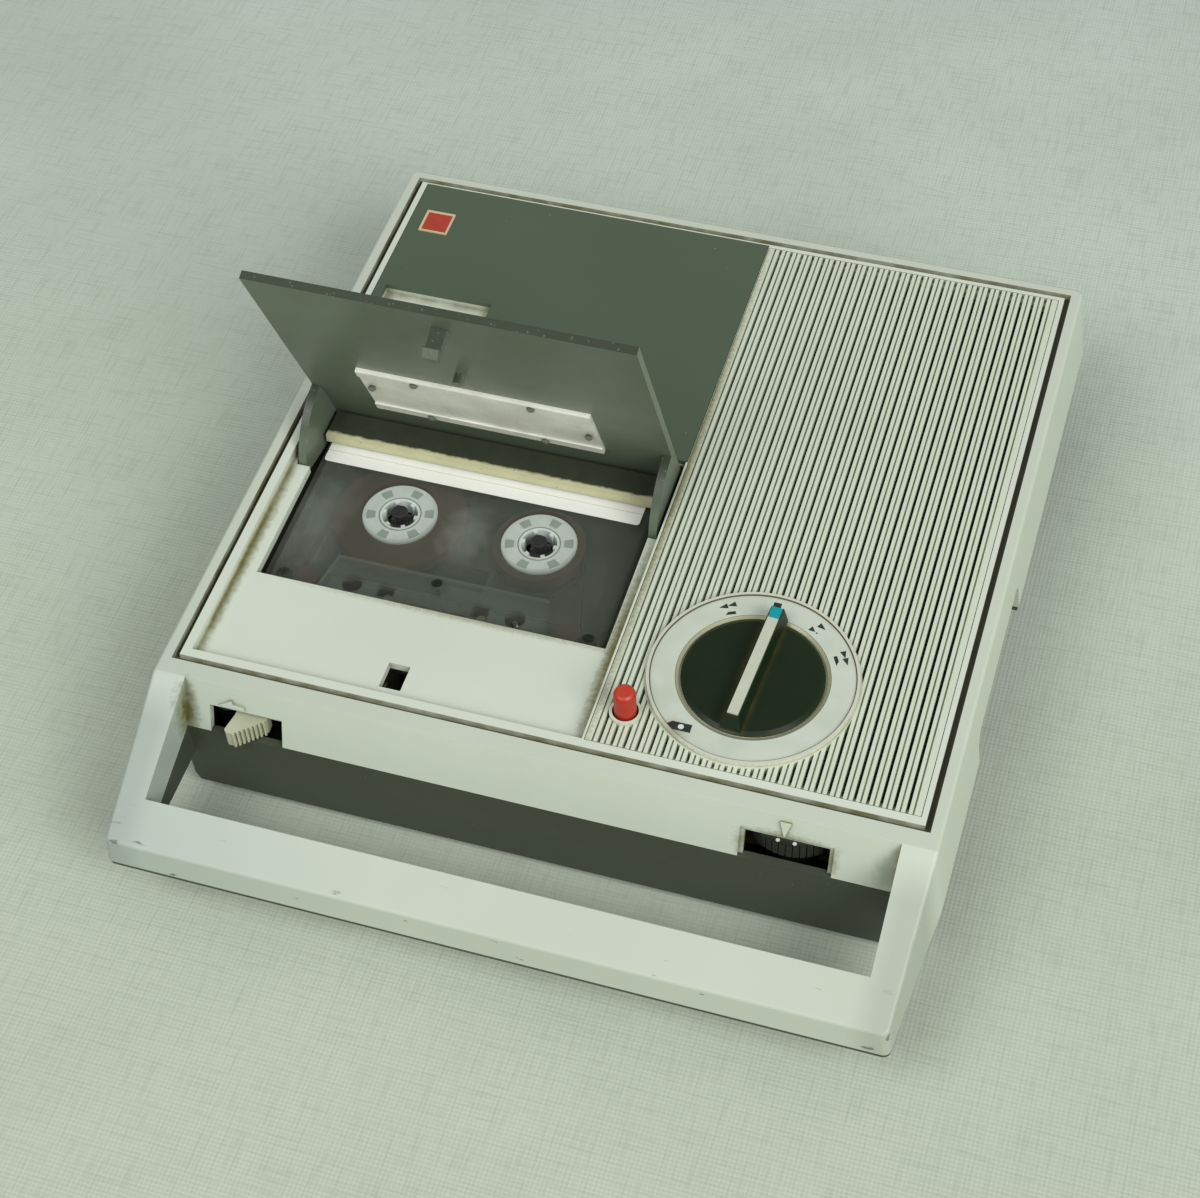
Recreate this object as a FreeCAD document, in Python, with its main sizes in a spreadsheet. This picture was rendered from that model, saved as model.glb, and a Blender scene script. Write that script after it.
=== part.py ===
"""Portable cassette recorder with a rotary selector, a hinged lid and a built-in handle.

Millimetres. X runs left to right, Y front to back, Z up. The origin is on the ground,
under the middle of the machine. The front is the side with the carrying handle.

Most sizes are measured the way the case was drawn: "across" from the left edge of the
opening that the top panel drops into, "back" from the front edge of that opening, and
"below" from the top of the case.
"""
import FreeCAD, Part
import Sketcher
import math
import os

Vector = FreeCAD.Vector
Rotation = FreeCAD.Rotation
Placement = FreeCAD.Placement

doc = FreeCAD.newDocument("cassette_recorder")

# Driving dimensions, each with what it measures
SIZES = {
    # Upper and lower case
    "opening_width": 210.7,  # opening for the top panel, left to right
    "opening_length": 201.2,  # opening for the top panel, front to back
    "side_rim": 3.2,  # case rim left and right of the opening
    "front_rim": 5.0,  # case rim in front of the opening
    "rear_rim": 3.1,  # case rim behind the opening
    "side_flare": 2.9,  # lean of each side from the top down to the parting line
    "rear_flare": 2.2,  # lean of the rear wall down to the parting line
    "top_height": 48.0,  # top of the case above the ground
    "parting_height": 21.0,  # line where the two case halves meet
    "case_wall": 2.2,  # moulded wall of both case halves
    "case_corner": 2.2,  # radius of the four upright corners
    "top_edge_round": 1.0,  # rounding of the case's upper edges
    "groove_depth": 2.0,  # depth of the dark groove round the panel
    "ledge_width": 2.8,  # ledge in the groove that carries the panel
    "ledge_thickness": 2.0,  # thickness of that ledge
    "step_gap": 0.2,  # gap where the lower half sits inside the upper half
    "flange_thickness": 1.6,  # dark flange of the lower half at the parting line
    "flange_inset": 0.3,  # flange edge inside the upper half's edge
    "tub_inset": 5.5,  # lower half's side wall inside the parting outline
    "tub_taper": 5.0,  # lean of the lower half's walls down to the floor
    "tub_chamfer": 1.6,  # bevel round the floor
    "floor_clearance": 1.6,  # underside of the floor above the ground
    # Handle
    "handle_reach": 45.0,  # from the body's front edge to the handle's nose
    "nose_flare": 0.5,  # lean of the nose down to the parting line
    "nose_height": 30.2,  # upper edge of the nose above the ground
    "bar_depth": 12.4,  # grip bar, front to back
    "arm_taper": 3.8,  # each arm runs in by this much towards the nose
    "window_width": 198.3,  # hand opening between the two arms
    "front_lean": 5.0,  # lean of the light front wall
    "front_wall_drop": 16.0,  # height of the light front wall
    "bar_skirt": 2.2,  # light wall of the bar above the parting line
    "front_foot": 1.5,  # the dark front wall leans in by this much
    # Notches in the front and side walls
    "eject_notch_start": 13.2,  # left end of the eject notch, across
    "eject_notch_end": 34.3,  # right end of the eject notch, across
    "eject_notch_top": 7.3,  # top of the eject notch, below
    "volume_notch_start": 163.7,  # left end of the volume notch, across
    "volume_notch_end": 186.5,  # right end of the volume notch, across
    "volume_notch_top": 7.7,  # top of the volume notch, below
    "notch_lip": 1.2,  # bevelled lip round the volume notch
    "jack_notch_start": 43.8,  # front end of the socket notch, back
    "jack_notch_length": 56.0,  # length of the socket notch
    "jack_notch_height": 11.0,  # height of the socket notch over the parting line
    "jack_notch_corner": 4.0,  # radius of its upper corners
    # Top panel
    "groove_width": 1.7,  # open groove between case and panel
    "panel_rim": 2.6,  # raised rim round the panel
    "skirt_gap": 0.2,  # panel skirt inside the ledge
    "deck_drop": 3.5,  # deck surface, below
    "panel_bottom": 6.0,  # underside of the panel, below
    "panel_post_margin": 4.0,  # solid top of a screw post
    "deck_end": 105.4,  # rear end of the deck, back
    "grille_start": 117.0,  # left edge of the grille, across
    "grille_divider": 0.8,  # wall between the deck and the grille
    "well_start": 9.6,  # left edge of the cassette well, across
    "well_end": 112.7,  # right edge of the cassette well, across
    "well_front": 36.9,  # front edge of the cassette well, back
    "well_rear": 106.2,  # rear edge of the cassette well, back
    "cheek_notch_front": 78.0,  # front end of the slots for the lid's cheeks, back
    "cheek_gap": 0.6,  # gap beside a cheek in its slot
    "latch_hole_start": 57.0,  # left side of the latch hole, across
    "latch_hole_width": 6.2,  # width of the latch hole
    "latch_hole_front": 8.3,  # front side of the latch hole, back
    "latch_hole_length": 8.4,  # length of the latch hole
    "trim_thickness": 1.6,  # dark trim plate
    "trim_start": 3.7,  # left edge of the trim plate, across
    "trim_end": 116.5,  # right edge of the trim plate, across
    "trim_front": 105.7,  # front edge of the trim plate, back
    "trim_rear": 198.9,  # rear edge of the trim plate, back
    "recess_start": 6.5,  # left edge of the pale recess, across
    "recess_width": 34.5,  # width of the pale recess
    "recess_rear": 152.2,  # rear edge of the pale recess, back
    "recess_length": 20.0,  # length of the pale recess
    "recess_drop": 3.6,  # floor of the pale recess, below
    "badge_size": 9.4,  # square badge
    "badge_across": 12.6,  # middle of the badge, across
    "badge_back": 182.4,  # middle of the badge, back
    "badge_thickness": 0.4,  # badge plate
    "badge_border": 0.6,  # raised border of the badge
    "fit_gap": 0.2,  # play round a piece that drops into a seat
    # Speaker grille
    "grille_end": 207.3,  # right edge of the grille, across
    "grille_front": 4.3,  # front edge of the grille, back
    "grille_rear": 198.0,  # rear edge of the grille, back
    "grille_thickness": 2.8,  # grille plate
    "grille_seat": 3.0,  # seat under the edge of the grille
    "slot_count": 25.0,  # number of open slots
    "slot_pitch": 3.45,  # from slot to slot
    "slot_width": 0.9,  # width of a slot
    "slot_margin": 1.6,  # a slot is open to this distance from the grille's ends
    "slot_end_depth": 1.7,  # depth of a slot from there to the end
    "groove_line_width": 0.5,  # fine groove along the middle of a rib
    "groove_line_depth": 0.8,  # depth of that fine groove
    "cloth_thickness": 0.5,  # speaker cloth
    # Selector dial and record button
    "dial_across": 154.7,  # dial axis, across
    "dial_back": 35.3,  # dial axis, back
    "dial_radius": 28.7,  # outer radius of the silver ring
    "dial_bore": 20.0,  # inner radius of the silver ring
    "dial_seat_edge": 0.5,  # bare grille round the silver ring
    "dial_ring_height": 1.0,  # silver ring above the grille
    "dial_lip_width": 0.9,  # raised outer lip of the ring
    "dial_lip_height": 0.4,  # height of that lip
    "knob_radius": 19.5,  # disc of the selector knob
    "knob_disc_height": 1.2,  # thickness of the disc
    "knob_bevel": 1.1,  # bevel round the disc
    "knob_edge": 0.5,  # upright edge of the disc under the bevel
    "knob_gap": 0.3,  # disc above the grille
    "knob_turn": 4.0,  # the grip points this many degrees clockwise of straight back
    "grip_length": 38.2,  # top of the grip bar
    "grip_overhang": 20.8,  # grip bar from the axis to its pointing end
    "grip_tail_lean": 1.8,  # slope of the tail end
    "grip_width": 6.0,  # grip bar at its foot
    "grip_top_width": 3.6,  # grip bar at its top
    "grip_height": 5.0,  # grip bar above the disc
    "stripe_width": 3.0,  # white stripe and blue end on the grip
    "stripe_thickness": 0.5,  # stripe and tip inlay
    "stripe_margin": 0.4,  # bare grip before both ends of the inlays
    "tip_length": 3.8,  # blue inlay at the pointing end
    "shaft_radius": 3.0,  # shaft of the selector switch
    "shaft_tip_radius": 1.4,  # thin end of that shaft
    "shaft_tip_length": 3.2,  # how far the thin end stands in the grip
    "shaft_gap": 0.4,  # gap round a shaft or stem in its hole
    "button_across": 124.9,  # record button axis, across
    "button_back": 15.5,  # record button axis, back
    "button_radius": 3.05,  # red button cap
    "button_gap": 0.55,  # gap round the cap in its hole
    "button_height": 9.4,  # top of the red button above the case top
    "button_travel": 3.0,  # travel of the record button
    "record_switch_side": 7.0,  # switch under the record button
    "button_stem_radius": 2.0,  # stem of the record button
    "button_flange_radius": 4.6,  # stop flange on the stem
    "collar_radius": 4.4,  # collar round the button
    "collar_height": 0.8,  # collar above the grille
    # Lid
    "lid_start": 6.0,  # left edge of the lid, across
    "lid_end": 115.0,  # right edge of the lid, across
    "lid_front": 4.9,  # free edge of the closed lid, back
    "hinge_back": 98.7,  # hinge axis, back
    "hinge_drop": 6.7,  # hinge axis, below
    "lid_thickness": 2.4,  # smoked lid plate
    "lid_open_angle": 67.6,  # angle of the open lid
    "lid_tail_angle": 45.0,  # rear edge of the lid curls round the hinge by this angle
    "cheek_radius": 20.3,  # round front edge of the cheeks
    "cheek_thickness": 2.4,  # cheek plate
    "cheek_sweep": 74.0,  # sector angle of a cheek
    "cheek_boss": 4.5,  # radius of the cheek round the hinge pin
    "pin_radius": 1.25,  # hinge pin
    "pin_gap": 0.1,  # running fit on the hinge pin
    "pin_seat": 1.2,  # length of pin held in the panel
    "spring_sleeve": 1.4,  # length of the lid's spring on the right-hand pin
    "insert_start": 25.4,  # left edge of the clear insert, across
    "insert_end": 94.6,  # right edge of the clear insert, across
    "insert_near": 13.9,  # clear insert: near edge from the hinge
    "insert_far": 41.9,  # clear insert: far edge from the hinge
    "insert_thickness": 1.4,  # clear insert
    "stake_radius": 1.2,  # heads that hold the insert
    "stake_height": 0.9,  # height of those heads
    "hook_across": 60.1,  # latch hook, across
    "hook_back": 12.5,  # latch hook of the closed lid, back
    "hook_width": 4.4,  # latch hook, across
    "hook_depth": 2.4,  # stem of the hook, front to back
    "hook_length": 9.0,  # latch hook below the lid's inner face
    "hook_head": 4.2,  # head of the hook, front to back
    "hook_head_height": 2.6,  # height of the hook's head
    "peg_back": 45.8,  # hold-down peg of the closed lid, back
    "peg_radius": 1.6,  # hold-down peg
    "peg_gap": 0.4,  # gap between the peg and the cassette
    # Cassette
    "cassette_across": 60.5,  # middle of the cassette, across
    "cassette_front": 37.3,  # tape edge of the cassette, back
    "cassette_width": 100.4,  # standard cassette width
    "cassette_depth": 63.8,  # standard cassette depth
    "cassette_thickness": 8.7,  # standard cassette thickness
    "cassette_drop": 7.5,  # upper face of the cassette, below
    "cassette_corner": 2.0,  # corner radius
    "cassette_wall": 1.1,  # cassette shell wall
    "hub_spacing": 42.5,  # standard distance between the hubs
    "hub_line": 35.0,  # hub line behind the tape edge
    "hub_radius": 11.0,  # hub that the tape winds on
    "hub_height": 5.0,  # height of the hub
    "hub_bore": 5.2,  # bore of the hub
    "hub_tooth": 0.9,  # length of a hub tooth
    "hub_hole": 5.5,  # hole in the shell over a hub
    "plateau_width": 68.0,  # thick part at the tape edge
    "plateau_depth": 13.5,  # depth of the thick part
    "plateau_rise": 1.65,  # thick part above the shell's face
    "plateau_slope": 2.5,  # lean of its two ends
    "capstan_offset": 24.2,  # capstan hole from the middle
    "capstan_depth": 4.6,  # capstan hole behind the tape edge
    "capstan_hole": 3.0,  # radius of the capstan hole
    "guide_offset": 14.0,  # square guide hole from the middle
    "guide_hole": 5.0,  # side of the square guide hole
    "mouth_width": 15.0,  # middle window at the tape edge
    "side_mouth_width": 18.0,  # side windows at the tape edge
    "side_mouth_offset": 22.0,  # side windows from the middle
    "mouth_height": 9.2,  # height of those windows
    "tape_radius_full": 19.5,  # tape wound on the full hub
    "tape_radius_empty": 13.5,  # tape wound on the other hub
    "tape_width": 3.8,  # magnetic tape
    "label_thickness": 0.15,  # paper label
    "label_front": 47.5,  # front edge of the label behind the tape edge
    "label_rear": 1.5,  # rear edge of the label before the cassette's rear
    "label_start": 0.6,  # left edge of the label inside the cassette's side
    "label_width": 97.0,  # paper label
    "label_corner": 1.0,  # round corners of the label
    "screw_inset": 4.8,  # cassette screws from the edges
    # Shelf over the cassette's rear edge
    "shelf_front": 91.0,  # front edge of the shelf, back
    "shelf_end": 110.4,  # right end of the shelf, across
    "shelf_thickness": 2.7,  # thickness of the shelf
    "shelf_round": 3.9,  # hollow round the hinge axis
    "shelf_web_gap": 0.4,  # web behind the cassette
    "shelf_web": 0.9,  # thickness of that web
    "shelf_foot_drop": 11.6,  # foot of the web, below
    "shelf_foot": 1.2,  # thickness of the foot
    "shelf_rear": 109.0,  # rear end of the foot, back
    # Chassis and drive
    "chassis_gap": 1.15,  # chassis under the thick part of the cassette
    "chassis_thickness": 1.2,  # steel chassis plate
    "chassis_start": 10.2,  # left edge of the chassis, across
    "chassis_end": 111.2,  # right edge of the chassis, across
    "chassis_front": 14.0,  # front edge of the chassis, back
    "chassis_rear": 118.0,  # rear edge of the chassis, back
    "post_radius": 3.4,  # moulded posts under the chassis and the board
    "post_inset": 6.0,  # posts from the edge of the chassis
    "rest_radius": 2.0,  # rest pins under the cassette
    "rest_gap": 0.1,  # cassette over its rest pins
    "guide_pin_radius": 1.3,  # guide pins in the square holes
    "spindle_radius": 2.4,  # spindle core
    "spindle_fin": 0.9,  # fins on the spindle
    "spindle_top_gap": 0.8,  # spindle top under the cassette's upper face
    "reel_disc_radius": 12.5,  # reel table
    "reel_disc_height": 1.2,  # thickness of the reel table
    "reel_disc_gap": 0.4,  # reel table above the chassis
    "spindle_axle_radius": 1.5,  # spindle axle
    "spindle_pulley_radius": 9.0,  # pulley under the chassis
    "spindle_pulley_height": 3.0,  # height of that pulley
    "flywheel_radius": 24.0,  # capstan flywheel
    "flywheel_height": 7.0,  # height of the flywheel rim
    "flywheel_web": 2.4,  # web of the flywheel
    "flywheel_rim": 5.0,  # width of the flywheel rim
    "capstan_radius": 1.25,  # capstan shaft
    "capstan_bearing_radius": 3.2,  # capstan bearing tube
    "capstan_bearing_length": 9.0,  # capstan bearing tube under the chassis
    "motor_across": 24.5,  # motor axis, across
    "motor_back": 41.9,  # motor axis, back
    "motor_radius": 14.5,  # motor can
    "motor_height": 14.0,  # height of the motor can
    "motor_shaft_radius": 1.0,  # motor shaft
    "pulley_radius": 4.0,  # motor pulley
    "pulley_flange": 1.2,  # flanges of the motor pulley
    "belt_width": 4.0,  # flat rubber belt
    "belt_thickness": 0.8,  # thickness of the belt
    "belt_gap": 0.1,  # belt over its pulleys
    "bridge_strap_width": 9.0,  # strap under the flywheel
    "bridge_strap_thickness": 1.2,  # thickness of that strap
    "bridge_strap_gap": 0.4,  # flywheel over the strap
    # Heads
    "bridge_travel": 4.0,  # travel of the head bridge
    "bridge_front": 12.0,  # front edge of the head bridge, back
    "bridge_rear": 32.6,  # rear edge of the head bridge, back
    "bridge_half_width": 34.0,  # half width of the head bridge
    "bridge_thickness": 1.2,  # head bridge plate
    "slide_gap": 0.2,  # gap under sliding plates
    "head_width": 12.0,  # recording head
    "head_height": 8.4,  # height of both heads
    "head_face": 36.4,  # face of the recording head, back
    "head_depth": 12.0,  # depth of the recording head
    "erase_head_width": 6.0,  # erase head
    "erase_head_offset": 17.5,  # erase head from the middle
    "roller_radius": 6.0,  # pinch roller
    "roller_height": 7.6,  # height of the pinch roller
    "roller_pin_radius": 1.0,  # axle of the pinch roller
    "roller_gap": 0.4,  # roller from the capstan in the play position
    "arm_thickness": 1.2,  # pinch arm plates
    # Eject
    "lever_travel": 5.0,  # travel of the eject lever
    "latch_travel": 2.0,  # travel of the lid latch to its locked place
    "latch_start": 45.5,  # left edge of the lid latch, across
    "latch_end": 71.0,  # right edge of the lid latch, across
    "latch_front": 6.5,  # front edge of the lid latch, back
    "latch_rear": 18.5,  # rear edge of the lid latch, back
    "latch_drop": 7.2,  # upper face of the lid latch, below
    "guide_radius": 1.6,  # studs that guide lever and latch
    "lever_root_start": 20.0,  # left side of the lever's root, across
    "lever_root_end": 29.0,  # right side of the lever's root, across
    "lever_tip": 19.0,  # left corner of the thumb piece, across
    "lever_front": 21.5,  # front corner of the thumb piece, across
    "lever_reach": 13.2,  # front corner of the thumb piece before the panel opening
    "lever_side_reach": 6.6,  # right corner of the thumb piece before the panel opening
    "lever_top": 10.0,  # upper face of the thumb piece, below
    "lever_height": 5.6,  # height of the thumb piece
    "lever_plate": 1.2,  # slide plate of the lever
    "lever_rib_count": 8.0,  # ribs on the thumb piece
    "lever_rib": 0.5,  # width and height of a rib, as a share of the step from rib to rib
    "latch_lip": 1.5,  # slide plate round the latch window
    "frame_arm_width": 5.5,  # arms of the eject frame
    "frame_arm_inset": 2.0,  # eject arms inside the cassette's sides
    "frame_thickness": 1.0,  # eject frame
    "frame_bar_back": 52.5,  # cross bar of the eject frame, back
    "frame_bar_width": 4.5,  # width of the cross bar
    "frame_hinge_back": 97.0,  # hinge of the eject frame, back
    # Speaker
    "speaker_across": 162.0,  # speaker axis, across
    "speaker_back": 140.0,  # speaker axis, back
    "speaker_radius": 38.5,  # speaker frame
    "speaker_depth": 17.0,  # depth of the speaker frame
    "speaker_flange": 4.5,  # flange of the speaker frame
    "speaker_metal": 0.9,  # sheet of the speaker frame
    "magnet_radius": 18.0,  # speaker magnet
    "magnet_height": 10.0,  # height of the speaker magnet
    "cone_sheet": 0.5,  # paper cone
    "cap_radius": 9.0,  # dust cap
    # Electronics
    "board_start": 119.5,  # left edge of the circuit board, across
    "board_end": 194.0,  # right edge of the circuit board, across
    "board_front": 2.0,  # front edge of the circuit board, back
    "board_rear": 92.0,  # rear edge of the circuit board, back
    "board_height": 20.0,  # underside of the circuit board above the ground
    "board_thickness": 1.6,  # circuit board
    "switch_side": 30.0,  # selector switch
    "switch_height": 8.0,  # height of the selector switch
    "wheel_across": 174.9,  # volume wheel axis, across
    "wheel_back": 6.2,  # volume wheel axis, back
    "wheel_radius": 14.5,  # volume wheel
    "wheel_thickness": 5.0,  # height of the volume wheel
    "wheel_top": 8.6,  # upper face of the volume wheel, below
    "wheel_tooth_count": 48.0,  # knurls of the volume wheel
    "wheel_tooth": 0.8,  # size of a knurl
    "pot_radius": 8.0,  # volume control body
    "pot_height": 11.0,  # height of the volume control
    "jack_panel_inset": 4.1,  # socket panel inside the parting line
    "jack_panel_thickness": 2.0,  # socket panel
    "jack_height": 6.0,  # socket axis above the parting line
    "jack_pitch": 16.0,  # from socket to socket
    "jack_bore": 1.75,  # bore radius of the two large sockets
    "jack_bore_small": 1.25,  # bore radius of the small socket
    "jack_collar": 4.0,  # collar radius of a socket
    "jack_collar_height": 1.0,  # collar in front of the panel
    "jack_body": 10.8,  # side of the socket body
    "jack_depth": 14.0,  # depth of a socket
    # Batteries, feet and screws
    "cell_radius": 13.0,  # C size cell
    "cell_length": 49.0,  # C size cell
    "cell_nub_radius": 3.0,  # positive contact of a cell
    "cell_nub": 1.0,  # height of that contact
    "bay_start": 7.4,  # left end of the battery bay, across
    "bay_front": 139.0,  # front of the battery bay, back
    "bay_gap": 0.5,  # play round the cells
    "bay_wall": 1.6,  # walls of the battery bay
    "bay_height": 18.0,  # walls of the bay above the floor
    "contact_thickness": 0.5,  # battery contact sheet
    "contact_spring": 2.2,  # height of the contact's spring leaf
    "door_gap": 0.4,  # play round the battery door
    "door_lip": 1.6,  # lip of the door behind the floor
    "door_travel": 12.0,  # the battery door slides by this much
    "door_rib_count": 6.0,  # grip grooves on the door
    "door_rib_pitch": 3.0,  # from groove to groove
    "door_grip_start": 8.0,  # first groove behind the door's front edge
    "door_grip_width": 30.0,  # length of a groove
    "door_groove_width": 1.4,  # width of a groove
    "door_groove_depth": 0.7,  # depth of a groove
    "foot_radius": 6.0,  # rubber foot
    "foot_recess": 1.0,  # foot sunk into the floor
    "foot_inset": 17.0,  # feet from the corners of the floor
    "case_screw_radius": 1.5,  # case screw
    "case_screw_head": 2.9,  # head of a case screw
    "boss_radius": 4.6,  # screw boss
    "board_screw_radius": 1.2,  # screws of chassis and board
    "board_screw_head": 2.6,  # head of such a screw
    "board_screw_height": 1.2,  # height of that head
    "board_screw_length": 6.0,  # length of such a screw in its post
    "pilot_depth": 8.0,  # pilot holes under the circuit board
}

sheet = doc.addObject("Spreadsheet::Sheet", "Sizes")


class Size:
    """A length, angle or count that remembers which cells of the sheet it comes from."""

    def __init__(self, value, text):
        self.value = value
        self.text = text

    def __float__(self):
        return float(self.value)

    def __add__(self, other):
        other = size(other)
        return Size(self.value + other.value, f"({self.text} + {other.text})")

    def __sub__(self, other):
        other = size(other)
        return Size(self.value - other.value, f"({self.text} - {other.text})")

    def __mul__(self, other):
        other = size(other)
        return Size(self.value * other.value, f"({self.text} * {other.text})")

    def __truediv__(self, other):
        other = size(other)
        return Size(self.value / other.value, f"({self.text} / {other.text})")

    def __neg__(self):
        return Size(-self.value, f"(0 - {self.text})")

    __radd__ = __add__

    def __rsub__(self, other):
        return size(other) - self

    __rmul__ = __mul__

    def __rtruediv__(self, other):
        return size(other) / self


def size(number):
    """A plain number as a Size."""
    return number if isinstance(number, Size) else Size(float(number), repr(float(number)))


def cosine(angle):
    return Size(math.cos(math.radians(angle.value)), f"cos({angle.text} * 1deg)")


def sine(angle):
    return Size(math.sin(math.radians(angle.value)), f"sin({angle.text} * 1deg)")


class Sizes:
    """Every cell of the sheet under its own name."""


S = Sizes()
for row, (name, value) in enumerate(SIZES.items(), 1):
    sheet.set(f"A{row}", name)
    sheet.set(f"B{row}", repr(value))
    sheet.setAlias(f"B{row}", name)
    setattr(S, name, Size(value, f"Sizes.{name}"))
doc.recompute()

# Named places, worked out from the driving dimensions
MARGIN = 2.0  # how far a cutting tool runs past the surface that it cuts

half_opening = S.opening_width / 2
half_top = half_opening + S.side_rim
half_parting = half_top + S.side_flare
total_depth = (S.nose_flare + S.handle_reach + S.front_rim + S.opening_length
               + S.rear_rim + S.rear_flare)
nose = -total_depth / 2
nose_top = nose + S.nose_flare
body_front = nose_top + S.handle_reach
panel_front = body_front + S.front_rim
rear_top = panel_front + S.opening_length + S.rear_rim
rear = rear_top + S.rear_flare
bar_rear = nose + S.bar_depth + S.nose_flare
front_low = body_front - S.front_lean
skirt_height = S.top_height - S.front_wall_drop
bar_skirt_height = S.parting_height + S.bar_skirt
half_window = S.window_width / 2
cavity_top = S.top_height - S.groove_depth - S.ledge_thickness
floor_top = S.floor_clearance + S.case_wall


def across(amount):
    return amount - half_opening


def back(amount):
    return panel_front + amount


def below(amount):
    return S.top_height - amount


# Drawing helpers
UPRIGHT = {
    "XY": Rotation(),
    "XZ": Rotation(Vector(1, 0, 0), 90),
    "YZ": Rotation(Vector(1, 1, 1), 120),
}
OUTWARD = {"XY": Vector(0, 0, 1), "XZ": Vector(0, 1, 0), "YZ": Vector(1, 0, 0)}
LEVEL = {"XY": "z", "XZ": "y", "YZ": "x"}
LYING = {
    "Z": Rotation(),
    "X": Rotation(Vector(0, 1, 0), 90),
    "Y": Rotation(Vector(1, 0, 0), -90),
}


def bind(thing, attribute, amount):
    """Tie one property of an object to the sheet."""
    thing.setExpression(attribute, size(amount).text)


def place(thing, x=0, y=0, z=0, turn=None):
    """Move an object to x, y, z, after a fixed turn."""
    if turn is not None:
        thing.Placement = Placement(Vector(), turn)
    for axis, amount in zip("xyz", (x, y, z)):
        bind(thing, f"Placement.Base.{axis}", amount)
    return thing


def block(name, x1, x2, y1, y2, z1, z2):
    """A box between two corners."""
    piece = doc.addObject("Part::Box", name)
    bind(piece, "Length", size(x2) - x1)
    bind(piece, "Width", size(y2) - y1)
    bind(piece, "Height", size(z2) - z1)
    return place(piece, x1, y1, z1)


def rod(name, x, y, z, radius, length, axis="Z"):
    """A cylinder that starts at x, y, z and runs along an axis."""
    piece = doc.addObject("Part::Cylinder", name)
    bind(piece, "Radius", radius)
    bind(piece, "Height", length)
    return place(piece, x, y, z, LYING[axis])


def tube(name, x, y, z, radius, bore, length, axis="Z"):
    """A hollow cylinder."""
    return cut(name, rod(f"{name}_outside", x, y, z, radius, length, axis),
               rod(f"{name}_bore", x, y, z, bore, length, axis))


def draw(sketch, *outlines):
    """Closed polygons (lists of corners) and circles (x, y, radius) pinned to the sheet."""
    for outline in outlines:
        first = sketch.GeometryCount
        if isinstance(outline, tuple):
            x, y, radius = (size(amount) for amount in outline)
            sketch.addGeometry(Part.Circle(Vector(x.value, y.value, 0), Vector(0, 0, 1), radius.value))
            pins = [("DistanceX", (-1, 1, first, 3), x), ("DistanceY", (-1, 1, first, 3), y),
                    ("Radius", (first,), radius)]
        else:
            corners = [(size(x), size(y)) for x, y in outline]
            points = [Vector(x.value, y.value, 0) for x, y in corners]
            count = len(points)
            for number in range(count):
                sketch.addGeometry(Part.LineSegment(points[number], points[(number + 1) % count]))
            for number in range(count):
                sketch.addConstraint(Sketcher.Constraint(
                    "Coincident", first + number, 2, first + (number + 1) % count, 1))
            pins = []
            for number, (x, y) in enumerate(corners):
                pins.append(("DistanceX", (-1, 1, first + number, 1), x))
                pins.append(("DistanceY", (-1, 1, first + number, 1), y))
        for kind, ends, amount in pins:
            index = sketch.addConstraint(Sketcher.Constraint(kind, *ends, amount.value))
            bind(sketch, f"Constraints[{index}]", amount)
    return sketch


def prism(name, plane, corners, start, end):
    """A polygon on the XY, XZ or YZ plane, pulled from start to end along the third axis."""
    outline = draw(doc.addObject("Sketcher::SketchObject", f"{name}_outline"), corners)
    outline.Placement = Placement(Vector(), UPRIGHT[plane])
    bind(outline, f"Placement.Base.{LEVEL[plane]}", start)
    piece = doc.addObject("Part::Extrusion", name)
    piece.Base = outline
    piece.DirMode = "Custom"
    piece.Dir = OUTWARD[plane]
    piece.Solid = True
    bind(piece, "LengthFwd", size(end) - start)
    return piece


def turned(name, corners, x=0, y=0, z=0, axis="Z"):
    """A profile of (radius, height) corners, turned round an axis through x, y, z."""
    outline = draw(doc.addObject("Sketcher::SketchObject", f"{name}_outline"), corners)
    outline.Placement = Placement(Vector(), UPRIGHT["XZ"])
    piece = doc.addObject("Part::Revolution", name)
    piece.Source = outline
    piece.Axis = Vector(0, 0, 1)
    piece.Angle = 360
    piece.Solid = True
    return place(piece, x, y, z, LYING[axis])


def fuse(name, *pieces):
    joined = doc.addObject("Part::MultiFuse", name)
    joined.Shapes = list(pieces)
    joined.Refine = True
    return joined


def cut(name, base, *tools):
    result = doc.addObject("Part::Cut", name)
    result.Base = base
    result.Tool = tools[0] if len(tools) == 1 else group(f"{name}_tools", *tools)
    result.Refine = True
    return result


def common(name, first, second):
    result = doc.addObject("Part::Common", name)
    result.Base = first
    result.Tool = second
    result.Refine = True
    return result


def group(name, *pieces):
    """Separate solids kept together as one object."""
    together = doc.addObject("Part::Compound", name)
    together.Links = list(pieces)
    return together


def rounded(name, base, radius, choose):
    """Round every edge of the base for which choose(edge) is true."""
    doc.recompute()
    result = doc.addObject("Part::Fillet", name)
    result.Base = base
    result.Edges = [(number, float(radius), float(radius))
                    for number, edge in enumerate(base.Shape.Edges, 1) if choose(edge)]
    return result


def is_upright(edge):
    """True for a straight edge that mostly runs up and down."""
    if len(edge.Vertexes) < 2 or not isinstance(edge.Curve, Part.Line):
        return False
    run = edge.Vertexes[1].Point - edge.Vertexes[0].Point
    return abs(run.z) > max(abs(run.x), abs(run.y))


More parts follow.
